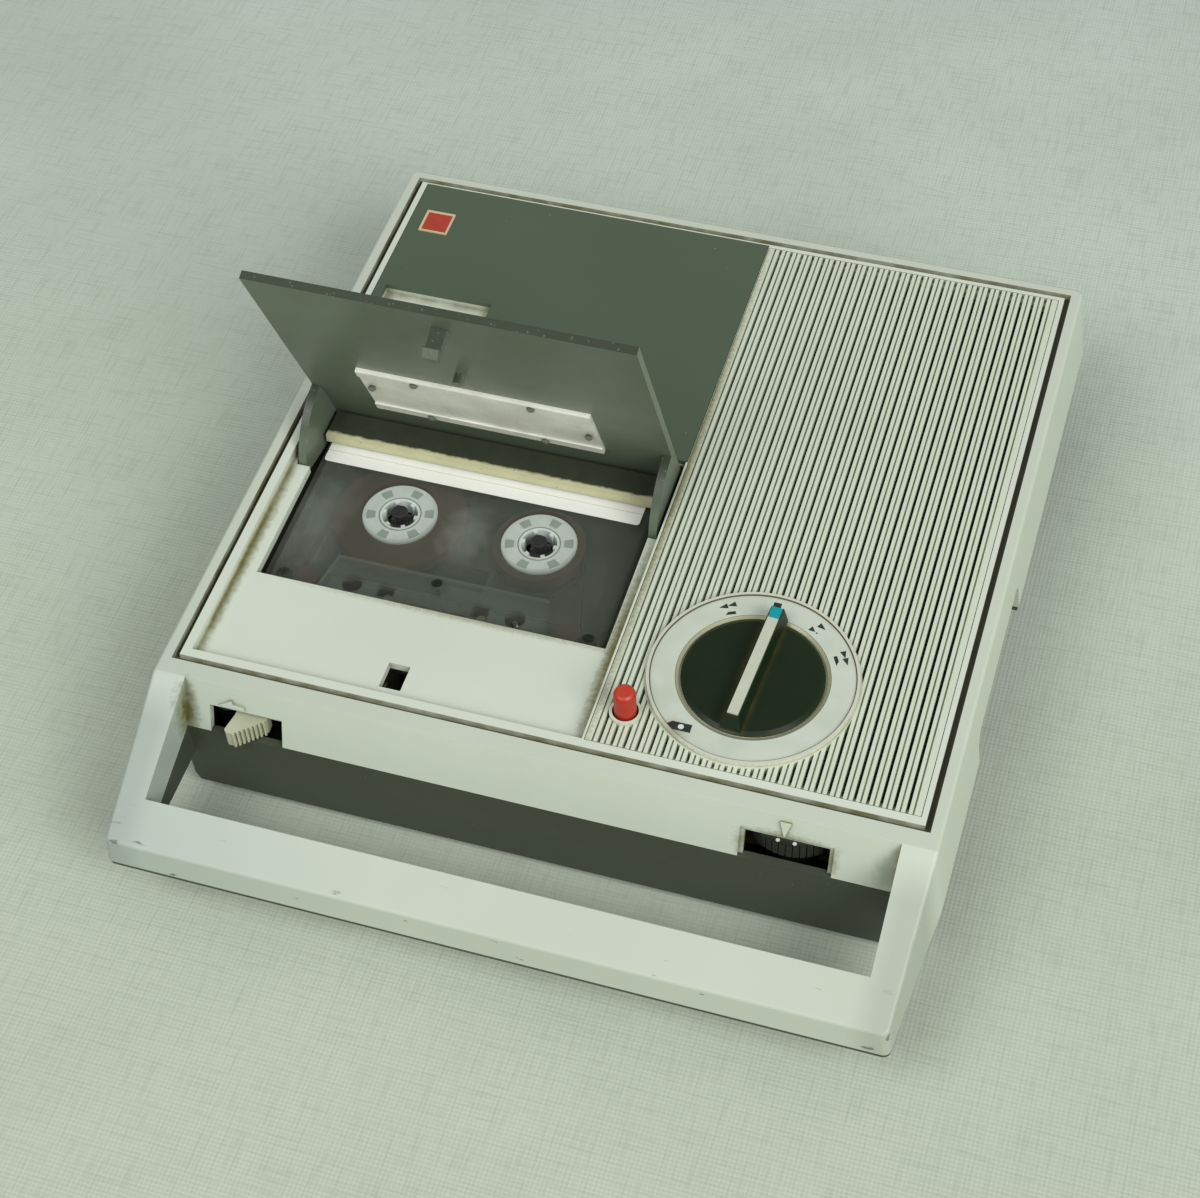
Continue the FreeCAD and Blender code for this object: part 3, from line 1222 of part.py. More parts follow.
def knob_inlays():
    """White stripe and blue pointing end on top of the grip."""
    half = S.stripe_width / 2
    tip_end = S.grip_overhang - S.stripe_margin
    tip_start = tip_end - S.tip_length
    stripe_start = S.stripe_margin + S.grip_overhang - S.grip_length
    bottom = grip_top - S.stripe_thickness
    stripe = block("stripe_strip", *span(half), stripe_start, tip_start, bottom, grip_top)
    tip = block("tip_strip", *span(half), tip_start, tip_end, bottom, grip_top)
    return [node("knob_stripe", on_knob(group("stripe_group", stripe))),
            node("knob_tip", on_knob(group("tip_group", tip)))]


def selector_switch():
    """Rotary switch on the circuit board, and the flatted shaft that the knob sits on."""
    x, y, half = across(S.dial_across), back(S.dial_back), S.switch_side / 2
    body = block("switch_body", x - half, x + half, y - half, y + half, board_top, switch_top - 2)
    plate = rod("switch_bushing", x, y, switch_top - 2, S.shaft_radius + 2, 2)
    foot = switch_top + S.pin_gap / 2
    shoulder = disc_bottom - S.fit_gap
    shaft = turned("shaft_turned", [
        (0, foot), (S.shaft_radius, foot), (S.shaft_radius, shoulder), (S.shaft_tip_radius, shoulder),
        (S.shaft_tip_radius, disc_top + S.shaft_tip_length), (0, disc_top + S.shaft_tip_length)], x, y)
    flat = block("shaft_flat", x - S.shaft_radius, x + S.shaft_radius, y + S.shaft_radius / 2,
                 y + S.shaft_radius + 1, shoulder - 4, shoulder + S.fit_gap)
    return [node("selector_switch", fuse("switch_joined", body, plate)),
            node("knob_shaft", cut("shaft_flatted", shaft, flat))]


flange_top = grille_seat_top - S.fit_gap
record_switch_top = board_top + 6.0


def record_button():
    """Red cap with a domed top, a stem and the flange that stops it under the grille."""
    top = S.top_height + S.button_height
    flange_bottom = flange_top - 1.0
    stem_bottom = record_switch_top + S.button_travel + S.fit_gap
    stem = S.button_stem_radius
    cap = S.button_radius
    return node("record_button", turned("record_button_turned", [
        (0, stem_bottom), (stem, stem_bottom), (stem, flange_bottom),
        (S.button_flange_radius, flange_bottom), (S.button_flange_radius, flange_top),
        (cap, flange_top), (cap, top - 1.3), (cap - 0.3, top - 0.5), (cap - 0.9, top), (0, top)],
        across(S.button_across), back(S.button_back)))


def record_spring():
    """Return spring of the record button, drawn as a sleeve that stands on the switch."""
    x, y = across(S.button_across), back(S.button_back)
    stem = S.button_stem_radius
    spring_top = flange_top - 1.0 - S.button_travel - S.fit_gap
    return node("record_spring", tube("record_spring_sleeve", x, y, record_switch_top, stem + 1.2,
                                      stem + S.shaft_gap, spring_top - record_switch_top))


def volume_wheel():
    """Knurled thumbwheel on an upright axis."""
    wheel = Moulding("volume_wheel")
    top = below(S.wheel_top)
    bottom = top - S.wheel_thickness
    wheel.add("wheel_disc", bottom, top, (0, 0, S.wheel_radius))
    wheel.add("wheel_hub", board_top + S.pot_height + S.fit_gap, bottom, (0, 0, S.shaft_radius))
    notch = wheel.remove("wheel_notch", top + 1, bottom - 1, [
        (S.wheel_radius + 1, -S.wheel_tooth / 2 - 0.1), (S.wheel_radius + 1, S.wheel_tooth / 2 + 0.1),
        (S.wheel_radius - S.wheel_tooth, 0)])
    wheel.ring("wheel_knurl", notch, S.wheel_tooth_count)
    place(wheel.body, across(S.wheel_across), back(S.wheel_back))
    pot = rod("volume_control_can", across(S.wheel_across), back(S.wheel_back), board_top,
              S.pot_radius, S.pot_height)
    return [node("volume_wheel", wheel.body), node("volume_control", pot)]


# Lid. Its pieces are drawn shut, with the hinge axis at their own origin, and then opened.
lid_left = across(S.lid_start)
lid_right = across(S.lid_end)
lid_outer = S.hinge_drop
lid_inner = S.hinge_drop - S.lid_thickness
lid_reach = S.lid_front - S.hinge_back


def opened(piece):
    """Turn a lid piece about the hinge axis to the open angle."""
    place(piece, 0, hinge_y, hinge_z, Rotation(Vector(1, 0, 0), -S.lid_open_angle.value))
    piece.setExpression("Placement.Rotation.Angle", f"(0 - {S.lid_open_angle.text}) * 1deg")
    return piece


def cassette_lid():
    """Smoked plate that curls round the hinge at its rear edge, with two sector cheeks."""
    plate = block("lid_plate", lid_left, lid_right, lid_reach, 0, lid_inner, lid_outer)
    tail_ring = tube("lid_tail_ring", lid_left, 0, 0, lid_outer, lid_inner, lid_right - lid_left, "X")
    far = 2 * lid_outer
    wedge = prism("lid_tail_wedge", "YZ", [
        (0, 0), (far * sine(S.lid_tail_angle), far * cosine(S.lid_tail_angle)), (0, far)],
        lid_left - 1, lid_right + 1)
    tail = common("lid_tail", tail_ring, wedge)
    cheeks = [cheek("left", lid_left), cheek("right", lid_right - S.cheek_thickness)]
    hook, peg = latch_hook(), hold_down_peg()
    body = fuse("lid_joined", plate, tail, *cheeks, hook, peg, *lid_stakes())
    bores = rod("cheek_bores", lid_left - 1, 0, 0, S.pin_radius + S.pin_gap, lid_right - lid_left + 2, "X")
    return node("cassette_lid", opened(cut("lid_bored", body, bores)))


def cheek(side, start):
    """Sector plate that closes the gap beside the cassette and carries the hinge pin."""
    radius = S.cheek_radius
    front = Size(180.0 - math.degrees(math.asin(lid_inner.value / radius.value)),
                 f"(180 - asin({lid_inner.text} / {radius.text}) / 1deg)")
    swept = front + S.cheek_sweep
    disc = rod(f"cheek_disc_{side}", start, 0, 0, radius, S.cheek_thickness, "X")
    far = 2 * radius
    middle = (front + swept) / 2
    sector = prism(f"cheek_sector_{side}", "YZ", [
        (0, lid_inner), (far * cosine(front), lid_inner), (far * cosine(middle), far * sine(middle)),
        (far * cosine(swept), far * sine(swept)), (S.cheek_boss * cosine(swept + 90),
                                                   S.cheek_boss * sine(swept + 90)),
        ], start, start + S.cheek_thickness)
    boss = rod(f"cheek_boss_{side}", start, 0, 0, S.cheek_boss, S.cheek_thickness, "X")
    return fuse(f"cheek_{side}", common(f"cheek_slice_{side}", disc, sector), boss)


def latch_hook():
    """Stem with a square head that drops through the hole in the deck."""
    x = across(S.hook_across)
    y = S.hook_back - S.hinge_back
    bottom = lid_inner - S.hook_length
    stem = block("hook_stem", x - S.hook_width / 2, x + S.hook_width / 2, y, y + S.hook_depth,
                 bottom, lid_inner + 0.5)
    head = prism("hook_head", "YZ", [
        (y + S.hook_depth - S.hook_head, bottom + S.hook_head_height - 0.4), (y,
                                                                              bottom), (y + S.hook_depth,
                                                                                        bottom),
        (y + S.hook_depth, bottom + S.hook_head_height),
        (y + S.hook_depth - S.hook_head, bottom + S.hook_head_height)],
        x - S.hook_width / 2, x + S.hook_width / 2)
    return fuse("latch_hook", stem, head)


def hold_down_peg():
    """Round peg that keeps the cassette down."""
    bottom = S.hinge_drop - S.cassette_drop + S.plateau_rise + S.peg_gap
    return rod("hold_down_peg", across(S.hook_across) - 1.2, S.peg_back - S.hinge_back, bottom,
               S.peg_radius, lid_inner + 0.5 - bottom)


def stake_places():
    """Six melted pegs that hold the clear insert: x, y from the hinge."""
    near, far = -S.insert_near, -S.insert_far
    x1, x2 = across(S.insert_start), across(S.insert_end)
    third = (x2 - x1) / 4
    return [(x1 + 2.6, near - 17.2), (x2 - 2.6, near - 12.4), (x1 + third, far + 1.6),
            (x2 - third, far + 1.6),
            (x1 + third, near - 1.6), (x2 - third, near - 1.6)]


def lid_stakes():
    bottom = lid_inner - S.insert_thickness
    shank = S.stake_radius - 0.4
    return [turned(f"stake_{number}", [
        (0, bottom - S.stake_height), (S.stake_radius * 0.6, bottom - S.stake_height), (S.stake_radius,
                                                                                        bottom - 0.3),
        (S.stake_radius, bottom), (shank, bottom), (shank, lid_inner + 0.5), (0, lid_inner + 0.5)], x, y, 0)
        for number, (x, y) in enumerate(stake_places(), 1)]


def lid_window():
    """Clear insert on the inside of the lid, with a hole for each peg."""
    near, far = -S.insert_near, -S.insert_far
    x1, x2 = across(S.insert_start), across(S.insert_end)
    bottom = lid_inner - S.insert_thickness
    rib = 1.2
    plate = block("insert_plate", x1, x2, far, near, bottom + 0.5, lid_inner)
    ribs = [block("insert_rib_far", x1, x2, far, far + 3 * rib, bottom, lid_inner),
            block("insert_rib_near", x1, x2, near - 3 * rib, near, bottom, lid_inner)]
    insert = fuse("insert_moulded", plate, *ribs)
    holes = [rod(f"stake_hole_{number}", x, y, bottom - 1, S.stake_radius - 0.3, S.insert_thickness + 2)
             for number, (x, y) in enumerate(stake_places(), 1)]
    return node("lid_window", opened(cut("insert_bored", insert, *holes)))


def hinge_pins():
    """Two steel pins pressed into the panel. The lid's spring is a sleeve on the right-hand one."""
    length = S.pin_seat + S.cheek_gap + S.cheek_thickness
    left = rod("hinge_pin_left", across(S.lid_start - S.cheek_gap - S.pin_seat), hinge_y, hinge_z,
               S.pin_radius, length, "X")
    sleeve = S.spring_sleeve + S.fit_gap
    right = rod("hinge_pin_right", lid_right - S.cheek_thickness - sleeve, hinge_y, hinge_z,
                S.pin_radius, length + sleeve, "X")
    spring = tube("lid_spring_sleeve", lid_right - S.cheek_thickness - sleeve, hinge_y, hinge_z,
                  2 * S.pin_radius, S.pin_radius, S.spring_sleeve, "X")
    return node("hinge_pins", group("hinge_pins_group", left, fuse("pin_with_spring", right, spring)))


def shelf():
    """Ivory shelf over the cassette's rear edge, hollowed out round the hinge axis."""
    top = deck_top
    bottom = top - S.shelf_thickness
    rear_of_cassette = back(S.cassette_front + S.cassette_depth)
    web_front = rear_of_cassette + S.shelf_web_gap
    web_rear = web_front + S.shelf_web
    foot_bottom = below(S.shelf_foot_drop)
    profile = prism("shelf_profile", "YZ", [
        (back(S.shelf_front), top), (back(S.shelf_front), bottom), (web_front, bottom),
        (web_front, foot_bottom), (back(S.shelf_rear), foot_bottom), (back(S.shelf_rear), panel_floor),
        (back(S.shelf_rear) - S.shelf_foot, panel_floor), (back(S.shelf_rear) - S.shelf_foot,
                                                           foot_bottom + S.shelf_foot),
        (web_rear, foot_bottom + S.shelf_foot), (web_rear, top)], across(S.well_start), across(S.shelf_end))
    hollow = block("shelf_behind", across(S.well_start) - 1, across(S.shelf_end) + 1, hinge_y,
                   hinge_y + 2 * S.shelf_round, hinge_z, top + 1)
    keep = rod("shelf_round", across(S.well_start) - 1, hinge_y, hinge_z, S.shelf_round,
               S.shelf_end - S.well_start + 2, "X")
    return node("cassette_shelf", cut("shelf_hollowed", profile, cut("shelf_waste", hollow, keep)))


# Cassette
middle = across(S.cassette_across)
tape_edge = back(S.cassette_front)
cassette_rear = tape_edge + S.cassette_depth
cassette_half = S.cassette_width / 2
split = cassette_top - S.cassette_thickness / 2
hub_y = tape_edge + S.hub_line
capstan_y = tape_edge + S.capstan_depth
HUBS = {"supply": middle - S.hub_spacing / 2, "takeup": middle + S.hub_spacing / 2}


def cassette_shell(label, side):
    """One half of the shell with its thick part at the tape edge. Side is 1 above, -1 below."""
    gap = S.fit_gap / 4
    face = S.cassette_thickness / 2
    low, high = (split + gap, split + face) if side > 0 else (split - face, split - gap)
    rise_low, rise_high = (high - 0.5, high + S.plateau_rise) if side > 0 else (low - S.plateau_rise,
                                                                                low + 0.5)
    shell = rounded(f"{label}_corners", block(
        f"{label}_block", middle - cassette_half, middle + cassette_half, tape_edge, cassette_rear,
        low, high), S.cassette_corner, is_upright)
    half = S.plateau_width / 2
    plateau = prism(f"{label}_plateau", "XY", [
        (middle - half, tape_edge), (middle + half, tape_edge),
        (middle + half - S.plateau_slope, tape_edge + S.plateau_depth),
        (middle - half + S.plateau_slope, tape_edge + S.plateau_depth)], rise_low, rise_high)
    wall = S.cassette_wall
    inner_low, inner_high = (low - 1, high - wall) if side > 0 else (low + wall, high + 1)
    inside = block(f"{label}_inside", middle - cassette_half + wall, middle + cassette_half - wall,
                   tape_edge + wall, cassette_rear - wall, inner_low, inner_high)
    openings = []
    for name, offset, width in (("middle", size(0), S.mouth_width),
                                ("left", -S.side_mouth_offset, S.side_mouth_width),
                                ("right", S.side_mouth_offset, S.side_mouth_width)):
        openings.append(block(f"{label}_mouth_{name}", middle + offset - width / 2,
                              middle + offset + width / 2,
                              tape_edge - 1, tape_edge + S.capstan_depth + 2,
                              split - S.mouth_height / 2, split + S.mouth_height / 2))
    low, high = low - 3, high + 3
    for number, sign in enumerate((-1, 1)):
        openings.append(rod(f"{label}_hub_hole_{number}", middle + sign * S.hub_spacing / 2, hub_y, low,
                            S.hub_hole, high - low))
        openings.append(rod(f"{label}_capstan_hole_{number}", middle + sign * S.capstan_offset, capstan_y,
                            low, S.capstan_hole, high - low))
        x = middle + sign * S.guide_offset
        openings.append(block(f"{label}_guide_hole_{number}", x - S.guide_hole / 2, x + S.guide_hole / 2,
                              capstan_y - S.guide_hole / 2, capstan_y + S.guide_hole / 2, low, high))
    if side > 0:
        openings += cassette_screw_holes(label, high)
    return node(label, cut(f"{label}_opened", fuse(f"{label}_joined",
                                                   cut(f"{label}_hollow", shell, inside), plateau,
                                                   *inner_posts(label, side)), *openings))


def cassette_screw_places():
    x, front, rear = cassette_half - S.screw_inset, tape_edge + S.screw_inset, cassette_rear - S.screw_inset
    return [(middle - x, front), (middle + x, front), (middle - x, rear), (middle + x, rear),
            (middle - 1.1, tape_edge + 11.1)]


def inner_posts(label, side):
    """Posts inside the shell round its screws."""
    face = S.cassette_thickness / 2 - 0.5
    low = split + S.fit_gap / 4 if side > 0 else split - face
    length = face - S.fit_gap / 4
    return [rod(f"{label}_post_{number}", x, y, low, 2.4, length)
            for number, (x, y) in enumerate(cassette_screw_places(), 1)]


def cassette_screw_holes(label, top):
    holes = []
    for number, (x, y) in enumerate(cassette_screw_places(), 1):
        seat = cassette_top + (S.plateau_rise if number == 5 else 0)
        holes.append(rod(f"{label}_screw_seat_{number}", x, y, seat - 0.9, 1.7, top - seat + 0.9))
        holes.append(rod(f"{label}_screw_hole_{number}", x, y, split - 1, 0.8, top - split + 1))
    return holes


def cassette_screws():
    """Five small cross-head screws."""
    screws = []
    for number, (x, y) in enumerate(cassette_screw_places(), 1):
        seat = cassette_top + (S.plateau_rise if number == 5 else 0) - 0.9
        head = rod(f"cassette_screw_head_{number}", x, y, seat, 1.5, 0.6)
        shank = rod(f"cassette_screw_shank_{number}", x, y, split + 0.6, 0.7, seat - split - 0.5)
        slots = [block(f"cassette_screw_slot_{number}_{turn}", x - w, x + w, y - d, y + d, seat + 0.3,
                       seat + 1)
                 for turn, (w, d) in enumerate(((1.0, 0.2), (0.2, 1.0)))]
        screws.append(cut(f"cassette_screw_{number}", fuse(f"cassette_screw_blank_{number}", head, shank),
                          *slots))
    return node("cassette_screws", group("cassette_screws_group", *screws))


def cassette_label():
    """Paper label on the upper shell."""
    left = middle - cassette_half + S.label_start
    sheet_of_paper = block("cassette_label_sheet", left, left + S.label_width, tape_edge + S.label_front,
                           cassette_rear - S.label_rear, cassette_top, cassette_top + S.label_thickness)
    return node("cassette_label", rounded("cassette_label_rounded", sheet_of_paper, S.label_corner,
                                          is_upright))


def reel(side, wound):
    """Hub ring with six teeth, and the tape wound on it."""
    ring = Moulding(f"{side}_hub")
    low, high = split - S.hub_height / 2, split + S.hub_height / 2
    ring.add(f"{side}_hub_disc", low, high, (0, 0, S.hub_radius))
    ring.remove(f"{side}_hub_bore", high + 1, low - 1, (0, 0, S.hub_bore))
    tooth = ring.add(f"{side}_hub_tooth", low, high,
                     rectangle(S.hub_bore - S.hub_tooth, S.hub_bore + 1, -0.6, 0.6))
    ring.ring(f"{side}_hub_teeth", tooth, 6)
    place(ring.body, HUBS[side], hub_y)
    pack = tube(f"{side}_tape", HUBS[side], hub_y, split - S.tape_width / 2, wound, S.hub_radius,
                S.tape_width)
    return node(f"{side}_reel", group(f"{side}_reel_group", ring.body, pack))


def tape_path():
    """Guide rollers in the front corners, the tape between them and the felt pad behind it."""
    low, high = split - S.tape_width / 2, split + S.tape_width / 2
    roller_y = tape_edge + 6.5
    strand = tape_edge + 3.2
    reach = 39.0
    rollers = [turned(f"guide_roller_{number}", [(0, -2.6), (3.6, -2.6), (3.6, -2.0), (3.2, -2.0), (3.2, 2.0),
                                                 (3.6, 2.0), (3.6, 2.6), (0,
                                                                          2.6)], middle + sign * reach, roller_y, split)
               for number, sign in enumerate((-1, 1), 1)]
    front = block("tape_front_run", middle - reach, middle + reach, strand, strand + 0.1, low, high)
    left, right = middle - reach - 3.2, middle + reach + 3.2
    full, empty = HUBS["supply"] - S.tape_radius_full, HUBS["takeup"] + S.tape_radius_empty
    runs = [prism("tape_left_run", "XY", [(left - 0.1, roller_y), (left, roller_y), (full, hub_y),
                                          (full - 0.1, hub_y)], low, high),
            prism("tape_right_run", "XY", [(right, roller_y), (right + 0.1, roller_y), (empty + 0.1, hub_y),
                                           (empty, hub_y)], low, high)]
    pad = block("pressure_pad_felt", middle - 2.6, middle + 2.6, strand + 0.5, strand + 2.0, split - 2,
                split + 2)
    leaf = block("pressure_pad_leaf", middle - 9, middle + 9, strand + 2.0, strand + 2.3, split - 1.5,
                 split + 1.5)
    return node("tape_path", group("tape_path_group", *rollers, front, *runs,
                                   fuse("pressure_pad", pad, leaf)))


# Chassis and drive
bridge_bottom = chassis_top + S.slide_gap
bridge_top = bridge_bottom + S.bridge_thickness
capstan_x = middle + S.capstan_offset
STUDS = [(S.cassette_across - 30.7, size(20)), (S.cassette_across + 30.7, size(20))]
flywheel_bottom = floor_top + 1.4 + S.bridge_strap_thickness + S.bridge_strap_gap
frame_left = middle - cassette_half + S.frame_arm_inset
frame_right = middle + cassette_half - S.frame_arm_inset
frame_axis_z = chassis_top + S.slide_gap + S.frame_thickness / 2


def chassis_plate():
    """Steel plate with the pins under the cassette and the lugs of the eject frame."""
    plate = Moulding("chassis_plate")
    plate.add("chassis_sheet", chassis_bottom, chassis_top, rectangle(
        across(S.chassis_start), across(S.chassis_end), back(S.chassis_front), back(S.chassis_rear)))
    rest_top = cassette_bottom - S.rest_gap
    plate.add("rest_pins", chassis_top, rest_top, *[
        (middle + x, tape_edge + y, S.rest_radius) for x in (-39, 39) for y in (8.7, 57.7)])
    plate.add("guide_pins", chassis_top, split + 2.4, *[
        (middle + x, capstan_y, S.guide_pin_radius) for x in (-S.guide_offset, S.guide_offset)])
    plate.add("bridge_studs", chassis_top, bridge_top + S.slide_gap, *[
        (across(x), back(y), S.guide_radius) for x, y in STUDS])
    plate.add("bridge_stud_heads", bridge_top + S.slide_gap, bridge_top + S.slide_gap + 0.8, *[
        (across(x), back(y), S.guide_radius + 1) for x, y in STUDS])
    hinge = back(S.frame_hinge_back)
    plate.add("frame_lugs", chassis_top, frame_axis_z + 1.2,
              rectangle(frame_left - 1.7, frame_left - 0.3, hinge - 1.4, hinge + 1.4),
              rectangle(frame_right + 0.3, frame_right + 1.7, hinge - 1.4, hinge + 1.4))
    plate.remove("spindle_holes", chassis_top + 1, chassis_bottom - 1, *[
        (x, hub_y, S.spindle_axle_radius + S.fit_gap) for x in HUBS.values()])
    plate.remove("bearing_hole", chassis_top + 1, chassis_bottom - 1,
                 (capstan_x, capstan_y, S.capstan_bearing_radius + S.fit_gap / 4))
    plate.remove("motor_hole", chassis_top + 1, chassis_bottom - 1,
                 (across(S.motor_across), back(S.motor_back), 4.0))
    plate.remove("mounting_holes", chassis_top + 1, chassis_bottom - 1, *[
        (across(x), back(y), S.board_screw_radius + S.fit_gap) for x, y in CHASSIS_POSTS])
    plate.remove("lightening_holes", chassis_top + 1, chassis_bottom - 1,
                 rectangle(middle - 14, middle + 14, back(88), back(108)),
                 rectangle(middle - 8, middle + 8, back(56), back(66)))
    bored = cut("chassis_bored", plate.body, rod("frame_lug_bore", frame_left - 2, hinge, frame_axis_z,
                                                 0.7, frame_right - frame_left + 4, "X"))
    plate.body.Label = "chassis_plate_pressing"
    return node("chassis_plate", bored)


def spindle(label, x):
    """Reel table, finned spindle, axle and the pulley below the chassis."""
    body = Moulding(label)
    table = chassis_top + S.reel_disc_gap
    top = cassette_top - S.spindle_top_gap
    pulley_top = chassis_bottom - 0.8
    pulley_bottom = pulley_top - S.spindle_pulley_height
    body.add(f"{label}_axle", pulley_bottom - 2, table, (0, 0, S.spindle_axle_radius))
    body.add(f"{label}_pulley", pulley_bottom, pulley_top, (0, 0, S.spindle_pulley_radius))
    body.add(f"{label}_table", table, table + S.reel_disc_height, (0, 0, S.reel_disc_radius))
    body.add(f"{label}_core", table + S.reel_disc_height, top, (0, 0, S.spindle_radius))
    body.add(f"{label}_tip", top, top + 0.5, (0, 0, S.spindle_radius - 0.7))
    fin = body.add(f"{label}_fin", table + S.reel_disc_height, top - 0.8,
                   rectangle(S.spindle_radius / 2, S.spindle_radius + S.spindle_fin, -0.45, 0.45))
    body.ring(f"{label}_fins", fin, 3)
    place(body.body, x, hub_y)
    return node(label, body.body)


def flywheel():
    """Heavy rim, thin web and hub, all on the capstan."""
    low, high = flywheel_bottom, flywheel_bottom + S.flywheel_height
    rim, web = S.flywheel_radius - S.flywheel_rim, flywheel_bottom + S.flywheel_web
    return node("flywheel", turned("flywheel_turned", [
        (0, low - 0.3), (S.capstan_radius, low - 0.3), (S.capstan_radius, low), (S.flywheel_radius, low),
        (S.flywheel_radius, high), (rim, high), (rim, web), (5, web), (5, high), (S.capstan_radius, high),
        (S.capstan_radius, cassette_top - 0.9), (S.capstan_radius - 0.4, cassette_top - 0.4),
        (0, cassette_top - 0.4)], capstan_x, capstan_y))


def capstan_bearing():
    """Flanged tube that the capstan turns in."""
    bore = S.capstan_radius + 0.1
    outside = S.capstan_bearing_radius
    return node("capstan_bearing", turned("capstan_bearing_turned", [
        (bore, chassis_bottom - S.capstan_bearing_length), (outside,
                                                            chassis_bottom - S.capstan_bearing_length),
        (outside, chassis_top), (outside + 1.8, chassis_top), (outside + 1.8, chassis_top + 0.6),
        (bore, chassis_top + 0.6)], capstan_x, capstan_y))


def flywheel_strap():
    """Bent strap that closes the space under the flywheel."""
    reach = S.flywheel_radius + 1.3
    half = S.bridge_strap_width / 2
    thick = S.bridge_strap_thickness
    bottom = flywheel_bottom - S.bridge_strap_gap - thick
    strap = prism("strap_profile", "XZ", [
        (capstan_x - reach - thick, bottom), (capstan_x + reach + thick, bottom),
        (capstan_x + reach + thick, chassis_bottom), (capstan_x + reach, chassis_bottom),
        (capstan_x + reach, bottom + thick), (capstan_x - reach, bottom + thick),
        (capstan_x - reach, chassis_bottom), (capstan_x - reach - thick, chassis_bottom)],
        capstan_y - half, capstan_y + half)
    return node("flywheel_strap", strap)


motor_x = across(S.motor_across)
motor_y = back(S.motor_back)
motor_bottom = chassis_bottom - S.motor_height
belt_bottom = flywheel_bottom + (S.flywheel_height - S.belt_width) / 2
belt_top = belt_bottom + S.belt_width


def motor():
    """Governed motor in its can, screwed under the chassis."""
    can = rod("motor_can", motor_x, motor_y, motor_bottom, S.motor_radius, S.motor_height)
    neck = rod("motor_neck", motor_x, motor_y, motor_bottom - 0.3, 4.5, 1.3)
    bore = rod("motor_bore", motor_x, motor_y, motor_bottom - 1, S.motor_shaft_radius + 0.1, 6)
    return node("motor", cut("motor_bored", fuse("motor_joined", can, neck), bore))


def motor_pulley():
    """Pulley between two flanges, on the motor's shaft."""
    flange = S.pulley_radius + S.pulley_flange
    low, high = belt_bottom - 0.4, belt_top + 0.4
    return node("motor_pulley", turned("motor_pulley_turned", [
        (0, low - 0.6), (flange, low - 0.6), (flange, low), (S.pulley_radius, low), (S.pulley_radius, high),
        (flange, high), (flange, high + 0.6), (S.motor_shaft_radius, high + 0.6),
        (S.motor_shaft_radius, motor_bottom + 4.5), (0, motor_bottom + 4.5)], motor_x, motor_y))


def belt_loop(name, grow):
    """Outline round both pulleys, kept clear of them by the given amount."""
    big, small = S.flywheel_radius + grow, S.pulley_radius + grow
    distance = capstan_x - motor_x
    lean = (S.flywheel_radius - S.pulley_radius) / distance
    rise = Size(math.sqrt(1 - lean.value ** 2), f"sqrt(1 - {lean.text} ^ 2)")
    sides = prism(f"{name}_sides", "XY", [
        (capstan_x - big * lean, capstan_y + big * rise), (motor_x - small * lean, motor_y + small * rise),
        (motor_x - small * lean, motor_y - small * rise), (capstan_x - big * lean, capstan_y - big * rise)],
        belt_bottom, belt_top)
    return fuse(name, sides, rod(f"{name}_flywheel_end", capstan_x, capstan_y, belt_bottom, big,
                                 S.belt_width),
                rod(f"{name}_motor_end", motor_x, motor_y, belt_bottom, small, S.belt_width))


def drive_belt():
    return node("drive_belt", cut("drive_belt_loop", belt_loop("belt_outside", S.belt_gap + S.belt_thickness),
                                  belt_loop("belt_inside", S.belt_gap)))


# Heads
roller_y = capstan_y - S.capstan_radius - S.roller_radius - S.roller_gap - S.bridge_travel
head_bottom = split - S.head_height / 2


def head_bridge():
    """Sliding plate with two guide slots and raised seats for both heads."""
    half = S.bridge_half_width
    front, rear_edge = back(S.bridge_front), back(S.bridge_rear)
    plate = Moulding("head_bridge")
    plate.add("bridge_sheet", bridge_bottom, bridge_top,
              rectangle(middle - half, middle + half, front, rear_edge))
    head_front = back(S.head_face) - S.head_depth
    plate.add("head_seats", bridge_top, head_bottom, rectangle(
        middle - S.head_width / 2 + 1, middle + S.head_width / 2 - 1, head_front + 1, rear_edge - 2),
        rectangle(middle - S.erase_head_offset - S.erase_head_width / 2,
                  middle - S.erase_head_offset + S.erase_head_width / 2, head_front + 2, rear_edge - 2))
    slot = S.guide_radius + S.fit_gap
    plate.remove("bridge_slots", bridge_top + 1, bridge_bottom - 1, *[
        rectangle(across(x) - slot, across(x) + slot, back(y) - slot - S.bridge_travel, back(y) + slot)
        for x, y in STUDS])
    plate.remove("bridge_corners", bridge_top + 1, bridge_bottom - 1,
                 [(middle - half, rear_edge), (middle - half, rear_edge - 6), (middle - half + 6, rear_edge)],
                 [(middle + half, rear_edge), (middle + half - 6, rear_edge), (middle + half, rear_edge - 6)])
    return node("head_bridge", plate.body)


def head(label, x, width, face, depth):
    """Metal-cased head with a rounded face."""
    half = width / 2
    outline = [(x - half, face - depth), (x + half, face - depth), (x + half, face - 2.4),
               (x + half * 0.55, face - 0.6),
               (x + half * 0.2, face), (x - half * 0.2, face), (x - half * 0.55, face - 0.6), (x - half,
                                                                                               face - 2.4)]
    return node(label, prism(f"{label}_case", "XY", outline, head_bottom, head_bottom + S.head_height))


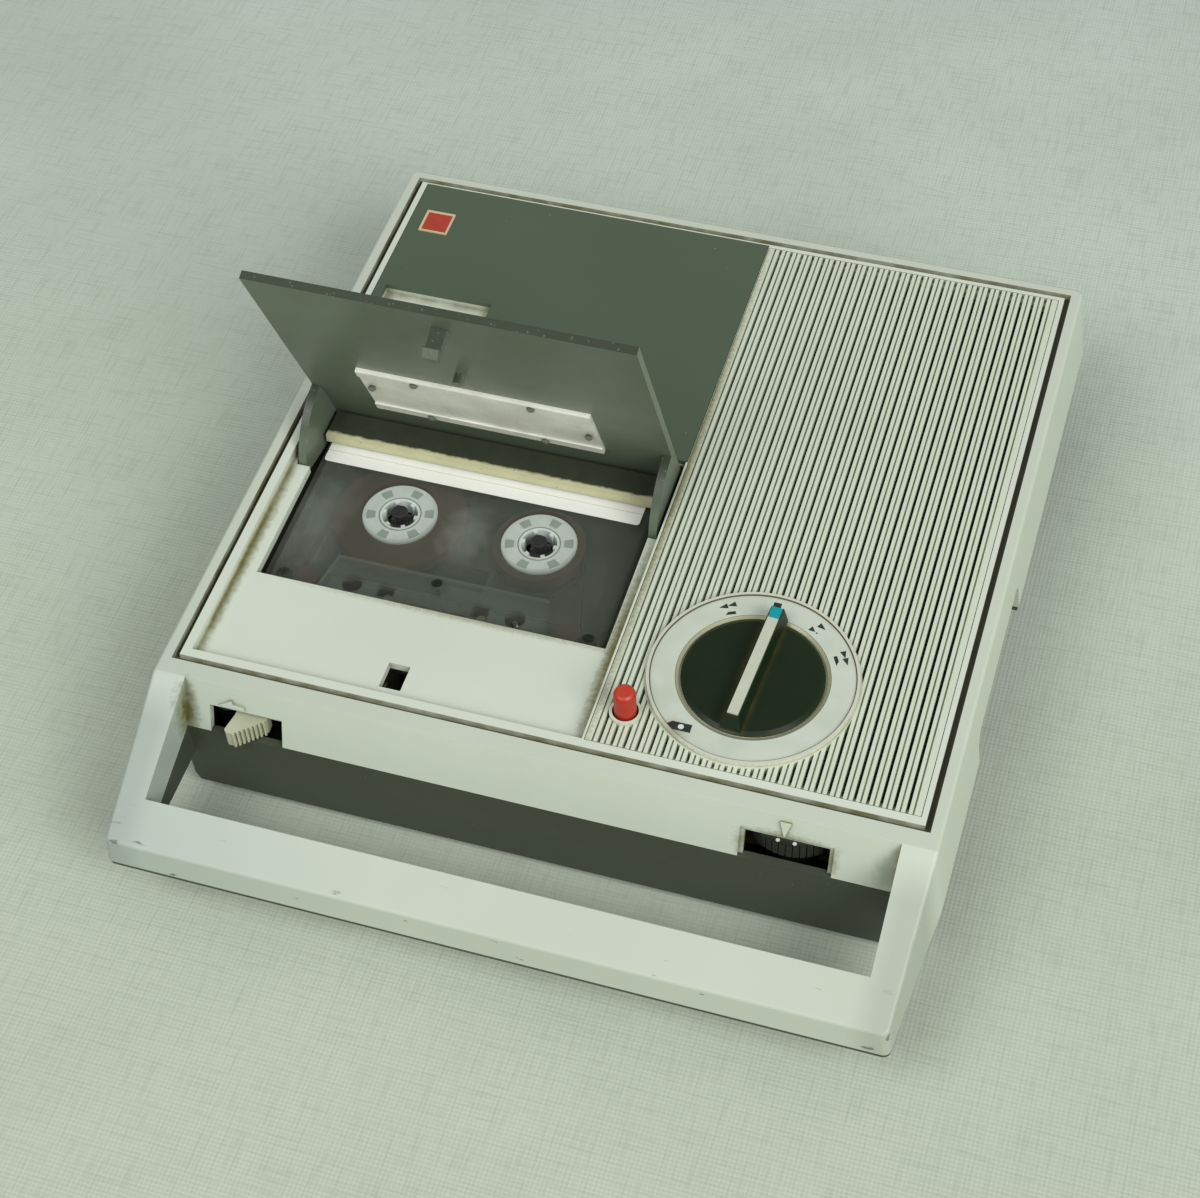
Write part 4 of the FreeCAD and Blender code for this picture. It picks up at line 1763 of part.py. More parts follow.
def pinch_arm():
    """Fork that holds the rubber roller between two plates."""
    half = 2.5
    roller_bottom = split - S.roller_height / 2
    low = roller_bottom - S.fit_gap - S.arm_thickness
    high = roller_bottom + S.roller_height + S.fit_gap
    front = roller_y - S.roller_radius - 1.5
    lower = block("arm_lower_plate", capstan_x - half, capstan_x + half, front, roller_y + 1.6, low,
                  low + S.arm_thickness)
    upper = block("arm_upper_plate", capstan_x - half, capstan_x + half, front, roller_y + 1.6,
                  high, high + S.arm_thickness)
    web = block("arm_web", capstan_x - half, capstan_x + half, front, front + S.arm_thickness, bridge_top,
                high + S.arm_thickness)
    pin = rod("roller_pin", capstan_x, roller_y, low, S.roller_pin_radius, high + S.arm_thickness + 0.4 - low)
    return node("pinch_arm", fuse("pinch_arm_joined", lower, upper, web, pin))


def pinch_roller():
    return node("pinch_roller", tube("pinch_roller_tube", capstan_x, roller_y, split - S.roller_height / 2,
                                     S.roller_radius, S.roller_pin_radius + 0.1, S.roller_height))


# Eject lever, lid latch and eject frame
latch_top = below(S.latch_drop)
latch_bottom = latch_top - S.lever_plate
lever_plate_top = latch_bottom - 1.6
lever_plate_bottom = lever_plate_top - S.lever_plate
LEVER_GUIDES = [(size(28), size(13)), (size(41), size(13))]
LATCH_GUIDES = [(size(51.5), size(15)), (size(67), size(15))]


def eject_lever():
    """Ribbed thumb piece in front of the case, on a sliding plate with two guide slots."""
    thumb_top = below(S.lever_top)
    thumb_bottom = thumb_top - S.lever_height
    tip, front = across(S.lever_tip), across(S.lever_front)
    right, side = across(S.lever_root_end), back(-S.lever_side_reach)
    nose_line = back(-S.lever_reach)
    root = [(across(S.lever_root_start), back(size(-4))), (across(S.lever_root_start), back(size(-7))),
            (tip, nose_line + 0.9), (tip + 0.9, nose_line), (front, nose_line), (right, side),
            (right, back(size(-4)))]
    thumb = prism("lever_thumb", "XY", root, thumb_bottom, thumb_top)
    count = int(S.lever_rib_count.value)
    run_x = (right - front) / S.lever_rib_count
    run_y = (side - nose_line) / S.lever_rib_count
    ribs = []
    for number in range(count):
        x, y = front + run_x * number, nose_line + run_y * number
        wide_x, wide_y = run_x * S.lever_rib, run_y * S.lever_rib
        out_x, out_y = run_y * S.lever_rib, run_x * -S.lever_rib
        ribs.append(prism(f"lever_rib_{number}", "XY", [
            (x - out_x, y - out_y), (x + out_x, y + out_y), (x + out_x + wide_x, y + out_y + wide_y),
            (x - out_x + wide_x, y - out_y + wide_y)], thumb_bottom, thumb_top))
    plate = Moulding("lever_slide")
    plate.add("lever_slide_sheet", lever_plate_bottom, lever_plate_top, rectangle(
        across(S.lever_root_start), across(46.5), back(size(-5)), back(size(17))))
    slot = S.guide_radius + S.fit_gap
    plate.remove("lever_slots", lever_plate_top + 1, lever_plate_bottom - 1, *[
        rectangle(across(x) - slot, across(x) + slot + S.lever_travel, back(y) - slot, back(y) + slot)
        for x, y in LEVER_GUIDES])
    return node("eject_lever", fuse("eject_lever_joined", thumb, *ribs, plate.body))


def lid_latch():
    """Sliding plate whose tongue moves over the head of the lid's hook."""
    plate = Moulding("lid_latch")
    plate.add("latch_sheet", latch_bottom, latch_top, rectangle(
        across(S.latch_start), across(S.latch_end), back(S.latch_front), back(S.latch_rear)))
    left = across(S.hook_across - S.hook_width / 2)
    tongue = back(S.hook_back) - S.fit_gap / 2
    plate.remove("latch_window", latch_top + 1, latch_bottom - 1, [
        (left - 0.4, back(S.latch_hole_front)), (left + S.hook_width + 0.6, back(S.latch_hole_front)),
        (left + S.hook_width + 0.6, back(S.latch_rear) - S.latch_lip), (left - 0.4 - S.latch_travel,
                                                                        back(S.latch_rear) - S.latch_lip),
        (left - 0.4 - S.latch_travel, tongue), (left - 0.4, tongue)])
    slot = S.guide_radius + S.fit_gap
    plate.remove("latch_slots", latch_top + 1, latch_bottom - 1, *[
        rectangle(across(x) - slot - S.latch_travel, across(x) + slot, back(y) - slot, back(y) + slot)
        for x, y in LATCH_GUIDES])
    return node("lid_latch", plate.body)


def slide_guides():
    """Studs under the deck with a washer below each sliding plate."""
    radius = S.guide_radius
    studs = []
    for number, ((x, y), bottom) in enumerate([(spot, lever_plate_bottom) for spot in LEVER_GUIDES]
                                              + [(spot, latch_bottom) for spot in LATCH_GUIDES], 1):
        washer = bottom - S.slide_gap
        studs.append(turned(f"slide_guide_{number}", [
            (0, washer - 0.8), (radius + 1.2, washer - 0.8), (radius + 1.2, washer), (radius, washer),
            (radius, panel_floor), (0, panel_floor)], across(x), back(y)))
    return node("slide_guides", group("slide_guides_group", *studs))


def eject_frame():
    """Flat U-shaped frame, hinged at its rear, that tips the cassette up."""
    bottom = frame_axis_z - S.frame_thickness / 2
    top = frame_axis_z + S.frame_thickness / 2
    front, hinge = back(S.frame_bar_back), back(S.frame_hinge_back)
    bar_rear_edge = front + S.frame_bar_width
    frame = prism("eject_frame_sheet", "XY", [
        (frame_left, front), (frame_right, front), (frame_right, hinge + 1.4),
        (frame_right - S.frame_arm_width, hinge + 1.4), (frame_right - S.frame_arm_width, bar_rear_edge),
        (frame_left + S.frame_arm_width, bar_rear_edge), (frame_left + S.frame_arm_width, hinge + 1.4),
        (frame_left, hinge + 1.4)], bottom, top)
    pins = [rod("frame_pin_left", frame_left - 1.6, hinge, frame_axis_z, 0.5, 2.6, "X"),
            rod("frame_pin_right", frame_right - 1, hinge, frame_axis_z, 0.5, 2.6, "X")]
    return node("eject_frame", fuse("eject_frame_joined", frame, *pins))


# Speaker
speaker_x = across(S.speaker_across)
speaker_y = back(S.speaker_back)
basket_bottom = speaker_top - S.speaker_depth
magnet_bottom = basket_bottom - S.magnet_height


def speaker():
    """Pressed frame with windows, paper cone with its dust cap, and the magnet."""
    sheet_metal = S.speaker_metal
    edge = S.speaker_radius - S.speaker_flange
    foot = S.magnet_radius + 1.0
    frame = turned("speaker_frame_turned", [
        (0, basket_bottom), (foot, basket_bottom), (edge + 1.0, speaker_top - sheet_metal),
        (S.speaker_radius, speaker_top - sheet_metal), (S.speaker_radius, speaker_top),
        (edge + 0.2, speaker_top), (foot - 0.8, basket_bottom + sheet_metal), (0,
                                                                               basket_bottom + sheet_metal)],
        speaker_x, speaker_y)
    reach = S.speaker_radius + 1
    low, high = basket_bottom + 3, speaker_top - 4
    windows = [block("speaker_window_x", speaker_x - reach, speaker_x + reach, speaker_y - 9,
                     speaker_y + 9, low, high),
               block("speaker_window_y", speaker_x - 9, speaker_x + 9, speaker_y - reach,
                     speaker_y + reach, low, high)]
    sheet_paper = S.cone_sheet
    cone_bottom = basket_bottom + 5
    cap = S.cap_radius
    cone = turned("speaker_cone_turned", [
        (0, cone_bottom + 2.6), (cap * 0.6, cone_bottom + 1.9), (cap, cone_bottom), (edge - 3,
                                                                                     speaker_top - 2.2),
        (edge - 1.5, speaker_top - 1.4), (edge - 0.5, speaker_top - 0.4), (edge - 0.9, speaker_top - 0.2),
        (edge - 2.2, speaker_top - 0.9), (edge - 3.4, speaker_top - 2.2 + sheet_paper), (cap,
                                                                                         cone_bottom + sheet_paper),
        (cap * 0.6, cone_bottom + 1.9 + sheet_paper), (0,
                                                       cone_bottom + 2.6 + sheet_paper)], speaker_x, speaker_y)
    magnet = turned("speaker_magnet_turned", [
        (0, magnet_bottom), (S.magnet_radius - 0.8, magnet_bottom), (S.magnet_radius, magnet_bottom + 0.8),
        (S.magnet_radius, basket_bottom), (0, basket_bottom)], speaker_x, speaker_y)
    return [node("speaker_frame", fuse("speaker_joined", cut("speaker_opened", frame, *windows), magnet)),
            node("speaker_cone", cone)]


# Electronics
def circuit_board():
    """Brown board with its mounting holes."""
    board = Moulding("circuit_board")
    board.add("board_sheet", S.board_height, board_top, rectangle(
        across(S.board_start), across(S.board_end), back(S.board_front), back(S.board_rear)))
    board.remove("board_holes", board_top + 1, S.board_height - 1, *[
        (across(x), back(y), S.board_screw_radius + S.fit_gap) for x, y in BOARD_POSTS])
    return node("circuit_board", board.body)


def board_parts():
    """Record switch, capacitors, coil cans and resistors on the board."""
    x, y = across(S.button_across), back(S.button_back)
    half = S.record_switch_side / 2
    parts = [block("record_switch", x - half, x + half, y - half, y + half, board_top, record_switch_top)]
    for number, (x, y, radius, height) in enumerate([
            (127, 58, 4.0, 11.0), (138, 57, 3.2, 9.0), (150, 59, 5.0, 13.0), (165, 60, 3.2, 9.0),
            (180, 76, 4.0, 11.0), (128, 74, 2.5, 7.0), (186, 62, 2.5, 7.0)], 1):
        parts.append(rod(f"capacitor_{number}", across(size(x)), back(size(y)), board_top, radius, height))
    for number, (x, y) in enumerate([(138, 68), (150, 70), (162, 70)], 1):
        parts.append(block(f"coil_can_{number}", across(size(x)), across(size(x + 8)), back(size(y)),
                           back(size(y + 8)),
                           board_top, board_top + 11))
    for number, (x, y) in enumerate([(124, 32), (124, 37), (124, 42), (140, 84), (152, 84), (164, 84)], 1):
        parts.append(rod(f"resistor_{number}", across(size(x)), back(size(y)), board_top + 1.2, 1.2, 7, "X"))
    parts.append(block("transformer", across(175), across(190), back(32), back(46), board_top,
                       board_top + 12))
    return node("board_parts", group("board_parts_group", *parts))


def mounting_screws():
    """Screws of chassis and circuit board."""
    screws = []
    for number, ((x, y), seat) in enumerate([(spot, chassis_top) for spot in CHASSIS_POSTS]
                                            + [(spot, board_top) for spot in BOARD_POSTS], 1):
        head, shank = S.board_screw_head, S.board_screw_radius
        screws.append(turned(f"mounting_screw_{number}", [
            (0, seat - S.board_screw_length), (shank, seat - S.board_screw_length), (shank, seat), (head,
                                                                                                    seat),
            (head, seat + S.board_screw_height / 2), (head - 0.7, seat + S.board_screw_height),
            (0, seat + S.board_screw_height)], across(x), back(y)))
    return node("mounting_screws", group("mounting_screws_group", *screws))


jack_face = half_parting - S.jack_panel_inset
jack_back_face = jack_face - S.jack_panel_thickness
jack_axis = S.parting_height + S.jack_height
JACKS = [(0, S.jack_bore), (1, S.jack_bore_small), (2, S.jack_bore)]


def jack_at(number):
    return back(S.jack_notch_start + (S.jack_notch_length - 2 * S.jack_pitch) / 2 + S.jack_pitch * number)


def jack_panel():
    """Upright strip behind the notch in the side wall, with a hole for each socket's collar."""
    start, end = back(S.jack_notch_start) - 2, back(S.jack_notch_start + S.jack_notch_length) + 2
    strip = block("jack_strip", jack_back_face, jack_face, start, end, S.parting_height,
                  S.parting_height + S.jack_notch_height + 1.4)
    holes = [rod(f"jack_hole_{number}", jack_back_face - 1, jack_at(number), jack_axis,
                 S.jack_collar + S.pin_gap, S.jack_panel_thickness + 2, "X") for number, bore in JACKS]
    return node("jack_panel", cut("jack_panel_bored", strip, *holes))


def jack_sockets():
    """Three socket bodies behind the strip, each with a collar that comes through it."""
    sockets = []
    for number, bore in JACKS:
        half = S.jack_body / 2
        y = jack_at(number)
        body = block(f"socket_body_{number}", jack_face + S.jack_collar_height - S.jack_depth - 1.5,
                     jack_back_face,
                     y - half, y + half, jack_axis - half, jack_axis + half)
        collar = rod(f"socket_collar_{number}", jack_back_face - 1, y, jack_axis, S.jack_collar,
                     S.jack_panel_thickness + S.jack_collar_height + 1, "X")
        sockets.append(cut(f"socket_{number}", fuse(f"socket_joined_{number}", body, collar), rod(
            f"socket_bore_{number}", jack_face + S.jack_collar_height - S.jack_depth, y, jack_axis, bore,
            S.jack_depth + 1, "X")))
    return node("jack_sockets", group("jack_sockets_group", *sockets))


# Batteries
ROWS = [back(S.bay_front + S.bay_gap + S.cell_radius), back(S.bay_front + 2 * S.bay_gap + 3 * S.cell_radius)]


def battery_cells():
    """Four cells in two rows, one row facing each way."""
    cells = []
    step = S.cell_length + S.cell_nub
    for row_number, y in enumerate(ROWS):
        for number in range(2):
            name = f"cell_{row_number}_{number}"
            if row_number == 0:
                start = across(S.bay_start + S.contact_thickness + S.contact_spring) + step * number
                nub = start + S.cell_length
            else:
                start = across(bay_end - S.contact_thickness - S.contact_spring) - step * number - S.cell_length
                nub = start - S.cell_nub
            body = rod(f"{name}_body", start, y, cell_axis, S.cell_radius, S.cell_length, "X")
            tip = rod(f"{name}_tip", nub, y, cell_axis, S.cell_nub_radius, S.cell_nub, "X")
            cells.append(fuse(name, body, tip))
    return node("battery_cells", group("battery_cells_group", *cells))


def battery_contacts():
    """Contact sheet at both ends of each row, with a spring cone on the negative side."""
    contacts = []
    for row_number, y in enumerate(ROWS):
        for side, x in (("left", across(S.bay_start)), ("right", across(bay_end - S.contact_thickness))):
            contacts.append(block(f"contact_{row_number}_{side}", x, x + S.contact_thickness, y - 10, y + 10,
                                  cell_axis - 9, cell_axis + 9))
        if row_number == 0:
            contacts.append(rod("contact_spring_0", across(S.bay_start + S.contact_thickness), y, cell_axis,
                                6, S.contact_spring, "X"))
        else:
            contacts.append(rod("contact_spring_1", across(bay_end - S.contact_thickness - S.contact_spring), y,
                                cell_axis, 6, S.contact_spring, "X"))
    return node("battery_contacts", group("battery_contacts_group", *contacts))


# Build every piece
upper_case()
_, lower_blank = lower_case()
battery_door(lower_blank)
rubber_feet()
case_screws()
top_panel()
trim_plate()
badge()
speaker_grille()
speaker_cloth()
dial_ring()
function_knob()
knob_inlays()
selector_switch()
record_button()
record_spring()
volume_wheel()
cassette_lid()
lid_window()
hinge_pins()
shelf()
cassette_shell("cassette_upper", 1)
cassette_shell("cassette_lower", -1)
cassette_screws()
cassette_label()
reel("supply", S.tape_radius_full)
reel("takeup", S.tape_radius_empty)
tape_path()
chassis_plate()
spindle("supply_spindle", HUBS["supply"])
spindle("takeup_spindle", HUBS["takeup"])
flywheel()
capstan_bearing()
flywheel_strap()
motor()
motor_pulley()
drive_belt()
head_bridge()
head("record_head", middle, S.head_width, back(S.head_face), S.head_depth)
head("erase_head", middle - S.erase_head_offset, S.erase_head_width, back(S.head_face) - 0.5,
     S.head_depth - 2.5)
pinch_arm()
pinch_roller()
eject_lever()
lid_latch()
slide_guides()
eject_frame()
speaker()
circuit_board()
board_parts()
mounting_screws()
jack_panel()
jack_sockets()
battery_cells()
battery_contacts()

# Check and export
doc.recompute()
broken = [item.Label for item in doc.Objects if "Invalid" in item.State or "Error" in item.State]
if broken:
    raise RuntimeError(f"objects with errors: {broken}")
os.makedirs("parts", exist_ok=True)
for piece in NODES:
    shape = piece.Shape
    if shape.isNull() or not shape.isValid() or not shape.Solids:
        raise RuntimeError(f"{piece.Label} has no valid solid")
    shape.exportStep(f"parts/{piece.Label}.step")
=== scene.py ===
"""Looks of a portable cassette recorder: pale ABS case with a handle, smoked lid, ribbed grille.

Metres. X runs left to right, Y from the handle to the back, Z up.
"""
import math

import bpy
import numpy as np
from mathutils import Matrix, Vector


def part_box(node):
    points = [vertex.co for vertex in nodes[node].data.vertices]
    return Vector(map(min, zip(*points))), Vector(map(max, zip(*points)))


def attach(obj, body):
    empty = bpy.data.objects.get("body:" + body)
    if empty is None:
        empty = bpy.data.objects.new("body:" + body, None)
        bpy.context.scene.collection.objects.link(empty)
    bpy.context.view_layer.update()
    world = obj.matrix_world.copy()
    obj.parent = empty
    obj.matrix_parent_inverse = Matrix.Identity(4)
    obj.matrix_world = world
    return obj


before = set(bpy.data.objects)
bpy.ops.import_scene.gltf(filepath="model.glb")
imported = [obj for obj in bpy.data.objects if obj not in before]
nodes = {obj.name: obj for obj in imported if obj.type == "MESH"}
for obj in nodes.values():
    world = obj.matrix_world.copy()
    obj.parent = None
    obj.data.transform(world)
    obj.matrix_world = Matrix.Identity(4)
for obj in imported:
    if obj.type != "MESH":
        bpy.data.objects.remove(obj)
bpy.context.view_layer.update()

MM = 0.001  # one millimetre in metres


# Studio: a pale cotton cloth under the recorder, and soft light from all round, a little more of
# it from the right. The camera stands before the handle, a little to the right, and looks down.
def colour(code):
    """An sRGB hex colour as linear red, green, blue and alpha."""
    parts = [int(code[i:i + 2], 16) / 255 for i in (0, 2, 4)]
    linear = [c / 12.92 if c <= 0.04045 else ((c + 0.055) / 1.055) ** 2.4 for c in parts]
    return (*linear, 1.0)


def feed(tree, node, inputs):
    """Sets inputs by name or number, to a value, a socket, or a node's first output in use."""
    for key, value in inputs.items():
        socket = node.inputs[key]
        if isinstance(value, bpy.types.Node):
            value = next(s for s in value.outputs if s.enabled)
        if isinstance(value, bpy.types.NodeSocket):
            tree.links.new(value, socket)
        else:
            socket.default_value = value
    return node


def add(tree, kind, inputs, **settings):
    """Adds a shader node with its settings and its inputs."""
    node = tree.nodes.new("ShaderNode" + kind)
    for key, value in settings.items():
        setattr(node, key, value)
    return feed(tree, node, inputs)


def coat(name):
    """A new material: itself, its node tree, its shader and the point on the piece."""
    material = bpy.data.materials.new(name)
    material.use_nodes = True
    tree = material.node_tree
    point = add(tree, "TexCoord", {}).outputs["Object"]
    return material, tree, tree.nodes["Principled BSDF"], point


def surface(name, points):
    """A mesh from a grid of points, rows by columns."""
    rows, columns = points.shape[:2]
    grid = np.arange(rows * columns).reshape(rows, columns)
    quads = np.stack([grid[:-1, :-1], grid[:-1, 1:], grid[1:, 1:], grid[1:, :-1]], -1)
    mesh = bpy.data.meshes.new(name)
    mesh.from_pydata(points.reshape(-1, 3).tolist(), [], quads.reshape(-1, 4).tolist())
    piece = bpy.data.objects.new(name, mesh)
    bpy.context.scene.collection.objects.link(piece)
    return piece


WAVE_PERIOD = math.pi / 10  # spacing of the wave texture's bands at scale 1


def cotton_cloth():
    """Plain weave of 0.5 mm, drawn 1.2 mm so that it shows, with stains and soft folds. Painted
    light drifts its colour from warm in front to cool and lighter behind, and painted shade darkens
    the gaps between the threads.
    """
    material, tree, shader, point = coat("cotton_cloth")
    # Painted light: warmer and darker in front, cooler and lighter behind.
    along = add(tree, "SeparateXYZ", {"Vector": point}).outputs["Y"]
    painted_light_drift = add(tree, "MapRange", {"Value": along, 1: -0.3, 2: 0.4, 3: 0.0, 4: 1.0})
    tone = add(tree, "Mix", {0: painted_light_drift, 6: colour("C8D1BB"), 7: colour("D0DED4")}, data_type="RGBA")
    stains = add(tree, "TexNoise", {"Vector": point, "Scale": 1 / (120 * MM), "Detail": 3.0})
    faint = add(tree, "MapRange", {"Value": stains, 1: 0.4, 2: 0.7, 3: 0.0, 4: 0.35})
    tone = add(tree, "Mix", {0: faint, 6: tone, 7: colour("B2BDAD")}, data_type="RGBA")
    spacing = 1.2 * MM
    wavy = {"Vector": point, "Scale": WAVE_PERIOD / spacing, "Distortion": 0.6}
    warp = add(tree, "TexWave", wavy, bands_direction="X")
    weft = add(tree, "TexWave", wavy, bands_direction="Y")
    weave = add(tree, "Math", {0: warp, 1: weft}, operation="ADD")
    for scale in (1, 14, 1), (14, 1, 1):
        drawn = add(tree, "Mapping", {"Vector": point, "Scale": scale})
        thick = add(tree, "TexNoise", {"Vector": drawn, "Scale": 1 / (14 * MM), "Detail": 3.0})
        shown = add(tree, "MapRange", {"Value": thick, 1: 0.5, 2: 0.8, 3: 0.0, 4: 0.4})
        tone = add(tree, "Mix", {0: shown, 6: tone, 7: colour("A3AE9C")}, data_type="RGBA")
    # Painted shade in the gaps between the threads.
    gap_shade = add(tree, "MapRange", {"Value": weave, 1: 0.0, 2: 2.0, 3: 0.18, 4: 0.0})
    tone = add(tree, "Mix", {0: gap_shade, 6: tone, 7: colour("98A390")}, data_type="RGBA")
    threads = add(tree, "Bump", {"Height": weave, "Strength": 0.4, "Distance": 0.1 * MM})
    folds = add(tree, "TexNoise", {"Vector": point, "Scale": 1 / (140 * MM), "Detail": 2.0,
                                   "Roughness": 0.4})
    folded = add(tree, "Bump", {"Height": folds, "Strength": 0.6, "Distance": 9 * MM,
                                "Normal": threads})
    feed(tree, shader, {"Base Color": tone, "Roughness": 0.9, "Normal": folded})
    return material


HALF_CLOTH = 3.0  # metres from the middle to each side of the cloth
lines = np.linspace(-HALF_CLOTH, HALF_CLOTH, 9)
across_floor, along_floor = np.meshgrid(lines, lines)
floor = surface("floor", np.stack([across_floor, along_floor, 0 * across_floor], -1))
floor.data.materials.append(cotton_cloth())

# Place, axes and lens of the camera, solved from the corners of the top panel's opening.
EYE = Vector((0.1420, -0.41813, 0.56781))
TO_RIGHT = Vector((0.9553, 0.2933, -0.0374))
UPWARD = Vector((-0.2072, 0.7544, 0.6229))
backward = TO_RIGHT.cross(UPWARD).normalized()
camera = bpy.data.objects.new("camera", bpy.data.cameras.new("camera"))
bpy.context.scene.collection.objects.link(camera)
bpy.context.scene.camera = camera
camera.data.lens = 72.27
camera.data.sensor_width = 36.0
axes = TO_RIGHT.normalized(), backward.cross(TO_RIGHT).normalized(), backward
camera.matrix_world = Matrix.Translation(EYE) @ Matrix(axes).transposed().to_4x4()


def lamp(name, place, aim, size, power):
    """A square soft box that shines from place towards aim."""
    light = bpy.data.lights.new(name, "AREA")
    light.size = size
    light.energy = power
    box = bpy.data.objects.new(name, light)
    bpy.context.scene.collection.objects.link(box)
    box.location = place
    box.rotation_euler = (Vector(aim) - Vector(place)).to_track_quat("-Z", "Y").to_euler()


lamp("right_light", (1.6, -1.15, 1.55), (0, 0, 0), 1.35, 38)
lamp("left_light", (-0.9, -1.2, 2.0), (0, 0, 0), 1.35, 20)
world = bpy.data.worlds.new("room")
world.use_nodes = True
bpy.context.scene.world = world
backdrop = world.node_tree.nodes["Background"]
feed(world.node_tree, backdrop, {"Color": colour("F2F5F1"), "Strength": 0.32})
bpy.context.scene.view_settings.view_transform = "Standard"


# Upper case: one injection moulding of pale grey ABS with a fine eroded texture. It frames the top
# panel and runs out to the handle. The groove round the panel has filled with brown dust in front;
# along its sides the groove's floor is painted dark as shade.
def clouded(tree, point, light, dark, size):
    """Colour that drifts slowly from light to dark over about size millimetres."""
    drift = add(tree, "TexNoise", {"Vector": point, "Scale": 1 / (size * MM), "Detail": 3.0})
    return add(tree, "Mix", {0: drift, 6: colour(light), 7: colour(dark)}, data_type="RGBA")


def soiled(tree, point, tone, reach, share, tint):
    """Dirt where surfaces meet: the nearer the next one, up to reach millimetres, the more dirt."""
    open_share = add(tree, "AmbientOcclusion", {"Distance": reach * MM}, samples=8).outputs["AO"]
    patches = add(tree, "TexNoise", {"Vector": point, "Scale": 1 / (6 * MM), "Detail": 4.0})
    edge = add(tree, "MapRange", {"Value": open_share, 1: 0.95, 2: 0.45, 3: 0.0, 4: share})
    broken = add(tree, "MapRange", {"Value": patches, 1: 0.35, 2: 0.65, 3: 0.45, 4: 1.0})
    amount = add(tree, "Math", {0: edge, 1: broken}, operation="MULTIPLY")
    return add(tree, "Mix", {0: amount, 6: tone, 7: colour(tint)}, data_type="RGBA")


def specked(tree, point, tone, spacing, radius, share, tint):
    """Round specks of dust: a share of the cells, spacing millimetres apart, has one."""
    cells = add(tree, "TexVoronoi", {"Vector": point, "Scale": 1 / (spacing * MM)})
    chosen = add(tree, "SeparateColor", {"Color": cells.outputs["Color"]}).outputs[0]
    kept = add(tree, "Math", {0: chosen, 1: share}, operation="LESS_THAN")
    spot = add(tree, "MapRange", {"Value": cells.outputs["Distance"], 1: radius / spacing,
                                  2: 0.4 * radius / spacing, 3: 0.0, 4: 0.8})
    amount = add(tree, "Math", {0: kept, 1: spot}, operation="MULTIPLY")
    return add(tree, "Mix", {0: amount, 6: tone, 7: colour(tint)}, data_type="RGBA")


def textured(tree, shader, point, tone, rough, grain, depth):
    """Closes a plastic: its gloss wanders, and grain and depth in millimetres give its texture."""
    wander = add(tree, "TexNoise", {"Vector": point, "Scale": 1 / (14 * MM), "Detail": 3.0})
    gloss = add(tree, "MapRange", {"Value": wander, 1: 0.3, 2: 0.7,
                                   3: rough - 0.03, 4: rough + 0.04})
    eroded = add(tree, "TexNoise", {"Vector": point, "Scale": 1 / (grain * MM), "Detail": 2.0})
    relief = add(tree, "Bump", {"Height": eroded, "Strength": 0.3, "Distance": depth * MM})
    feed(tree, shader, {"Base Color": tone, "Roughness": gloss, "Normal": relief, "IOR": 1.53})


def stained(tree, point, tone, place, radius, share, tint, shape=(1, 1, 1)):
    """A ragged stain that fades over radius millimetres; a small shape value draws it out."""
    apart = add(tree, "VectorMath", {0: point, 1: Vector(place) * MM}, operation="SUBTRACT")
    drawn = add(tree, "VectorMath", {0: apart, 1: shape}, operation="MULTIPLY")
    away = add(tree, "VectorMath", {0: drawn}, operation="LENGTH").outputs["Value"]
    reach = radius * MM
    patches = add(tree, "TexNoise", {"Vector": point, "Scale": 1 / (0.4 * reach), "Detail": 4.0})
    ragged = add(tree, "Math", {0: patches, 1: 0.9 * reach, 2: away}, operation="MULTIPLY_ADD")
    amount = add(tree, "MapRange", {"Value": ragged, 1: 1.4 * reach, 2: 0.6 * reach,
                                    3: 0.0, 4: share})
    return add(tree, "Mix", {0: amount, 6: tone, 7: colour(tint)}, data_type="RGBA")


def upright_part(tree):
    """The Z share of the outward direction: 1 on a level upper face, -1 on a level lower one."""
    outward = add(tree, "NewGeometry", {}).outputs["Normal"]
    return add(tree, "SeparateXYZ", {"Vector": outward}).outputs["Z"]


def within(tree, value, low, high):
    """1 where a value lies between low and high, else 0."""
    middle, reach = (low + high) / 2, (high - low) / 2
    return add(tree, "Math", {0: value, 1: middle, 2: reach}, operation="COMPARE")


def dress(material, *names):
    """Gives CAD nodes their material."""
    for name in names:
        nodes[name].data.materials.clear()
        nodes[name].data.materials.append(material)


def groove_dust_and_shade(tree, point, place, tone):
    """The floor of the groove round the panel: brown dust in front, painted shade along the sides.
    """
    level = within(tree, place.outputs["Z"], 44 * MM, 46.6 * MM)
    upward = add(tree, "Math", {0: upright_part(tree), 1: 0.9}, operation="GREATER_THAN")
    beside_panel = add(tree, "Math", {0: place.outputs["Y"], 1: -0.084}, operation="GREATER_THAN")
    flat_floor = add(tree, "Math", {0: level, 1: upward}, operation="MULTIPLY")
    groove = add(tree, "Math", {0: flat_floor, 1: beside_panel}, operation="MULTIPLY")
    front = add(tree, "MapRange", {"Value": place.outputs["Y"], 1: -0.076, 2: -0.079,
                                   3: 0.0, 4: 1.0})
    # Painted shade on the groove's floor along the sides, brown dust in front; the two are mixed
    # below by place.
    side_shade = clouded(tree, point, "3A4030", "4C4C34", 8)
    front_dust = clouded(tree, point, "7E7838", "A8A068", 5)
    dust = add(tree, "Mix", {0: front, 6: side_shade, 7: front_dust}, data_type="RGBA")
    return add(tree, "Mix", {0: groove, 6: tone, 7: dust}, data_type="RGBA")


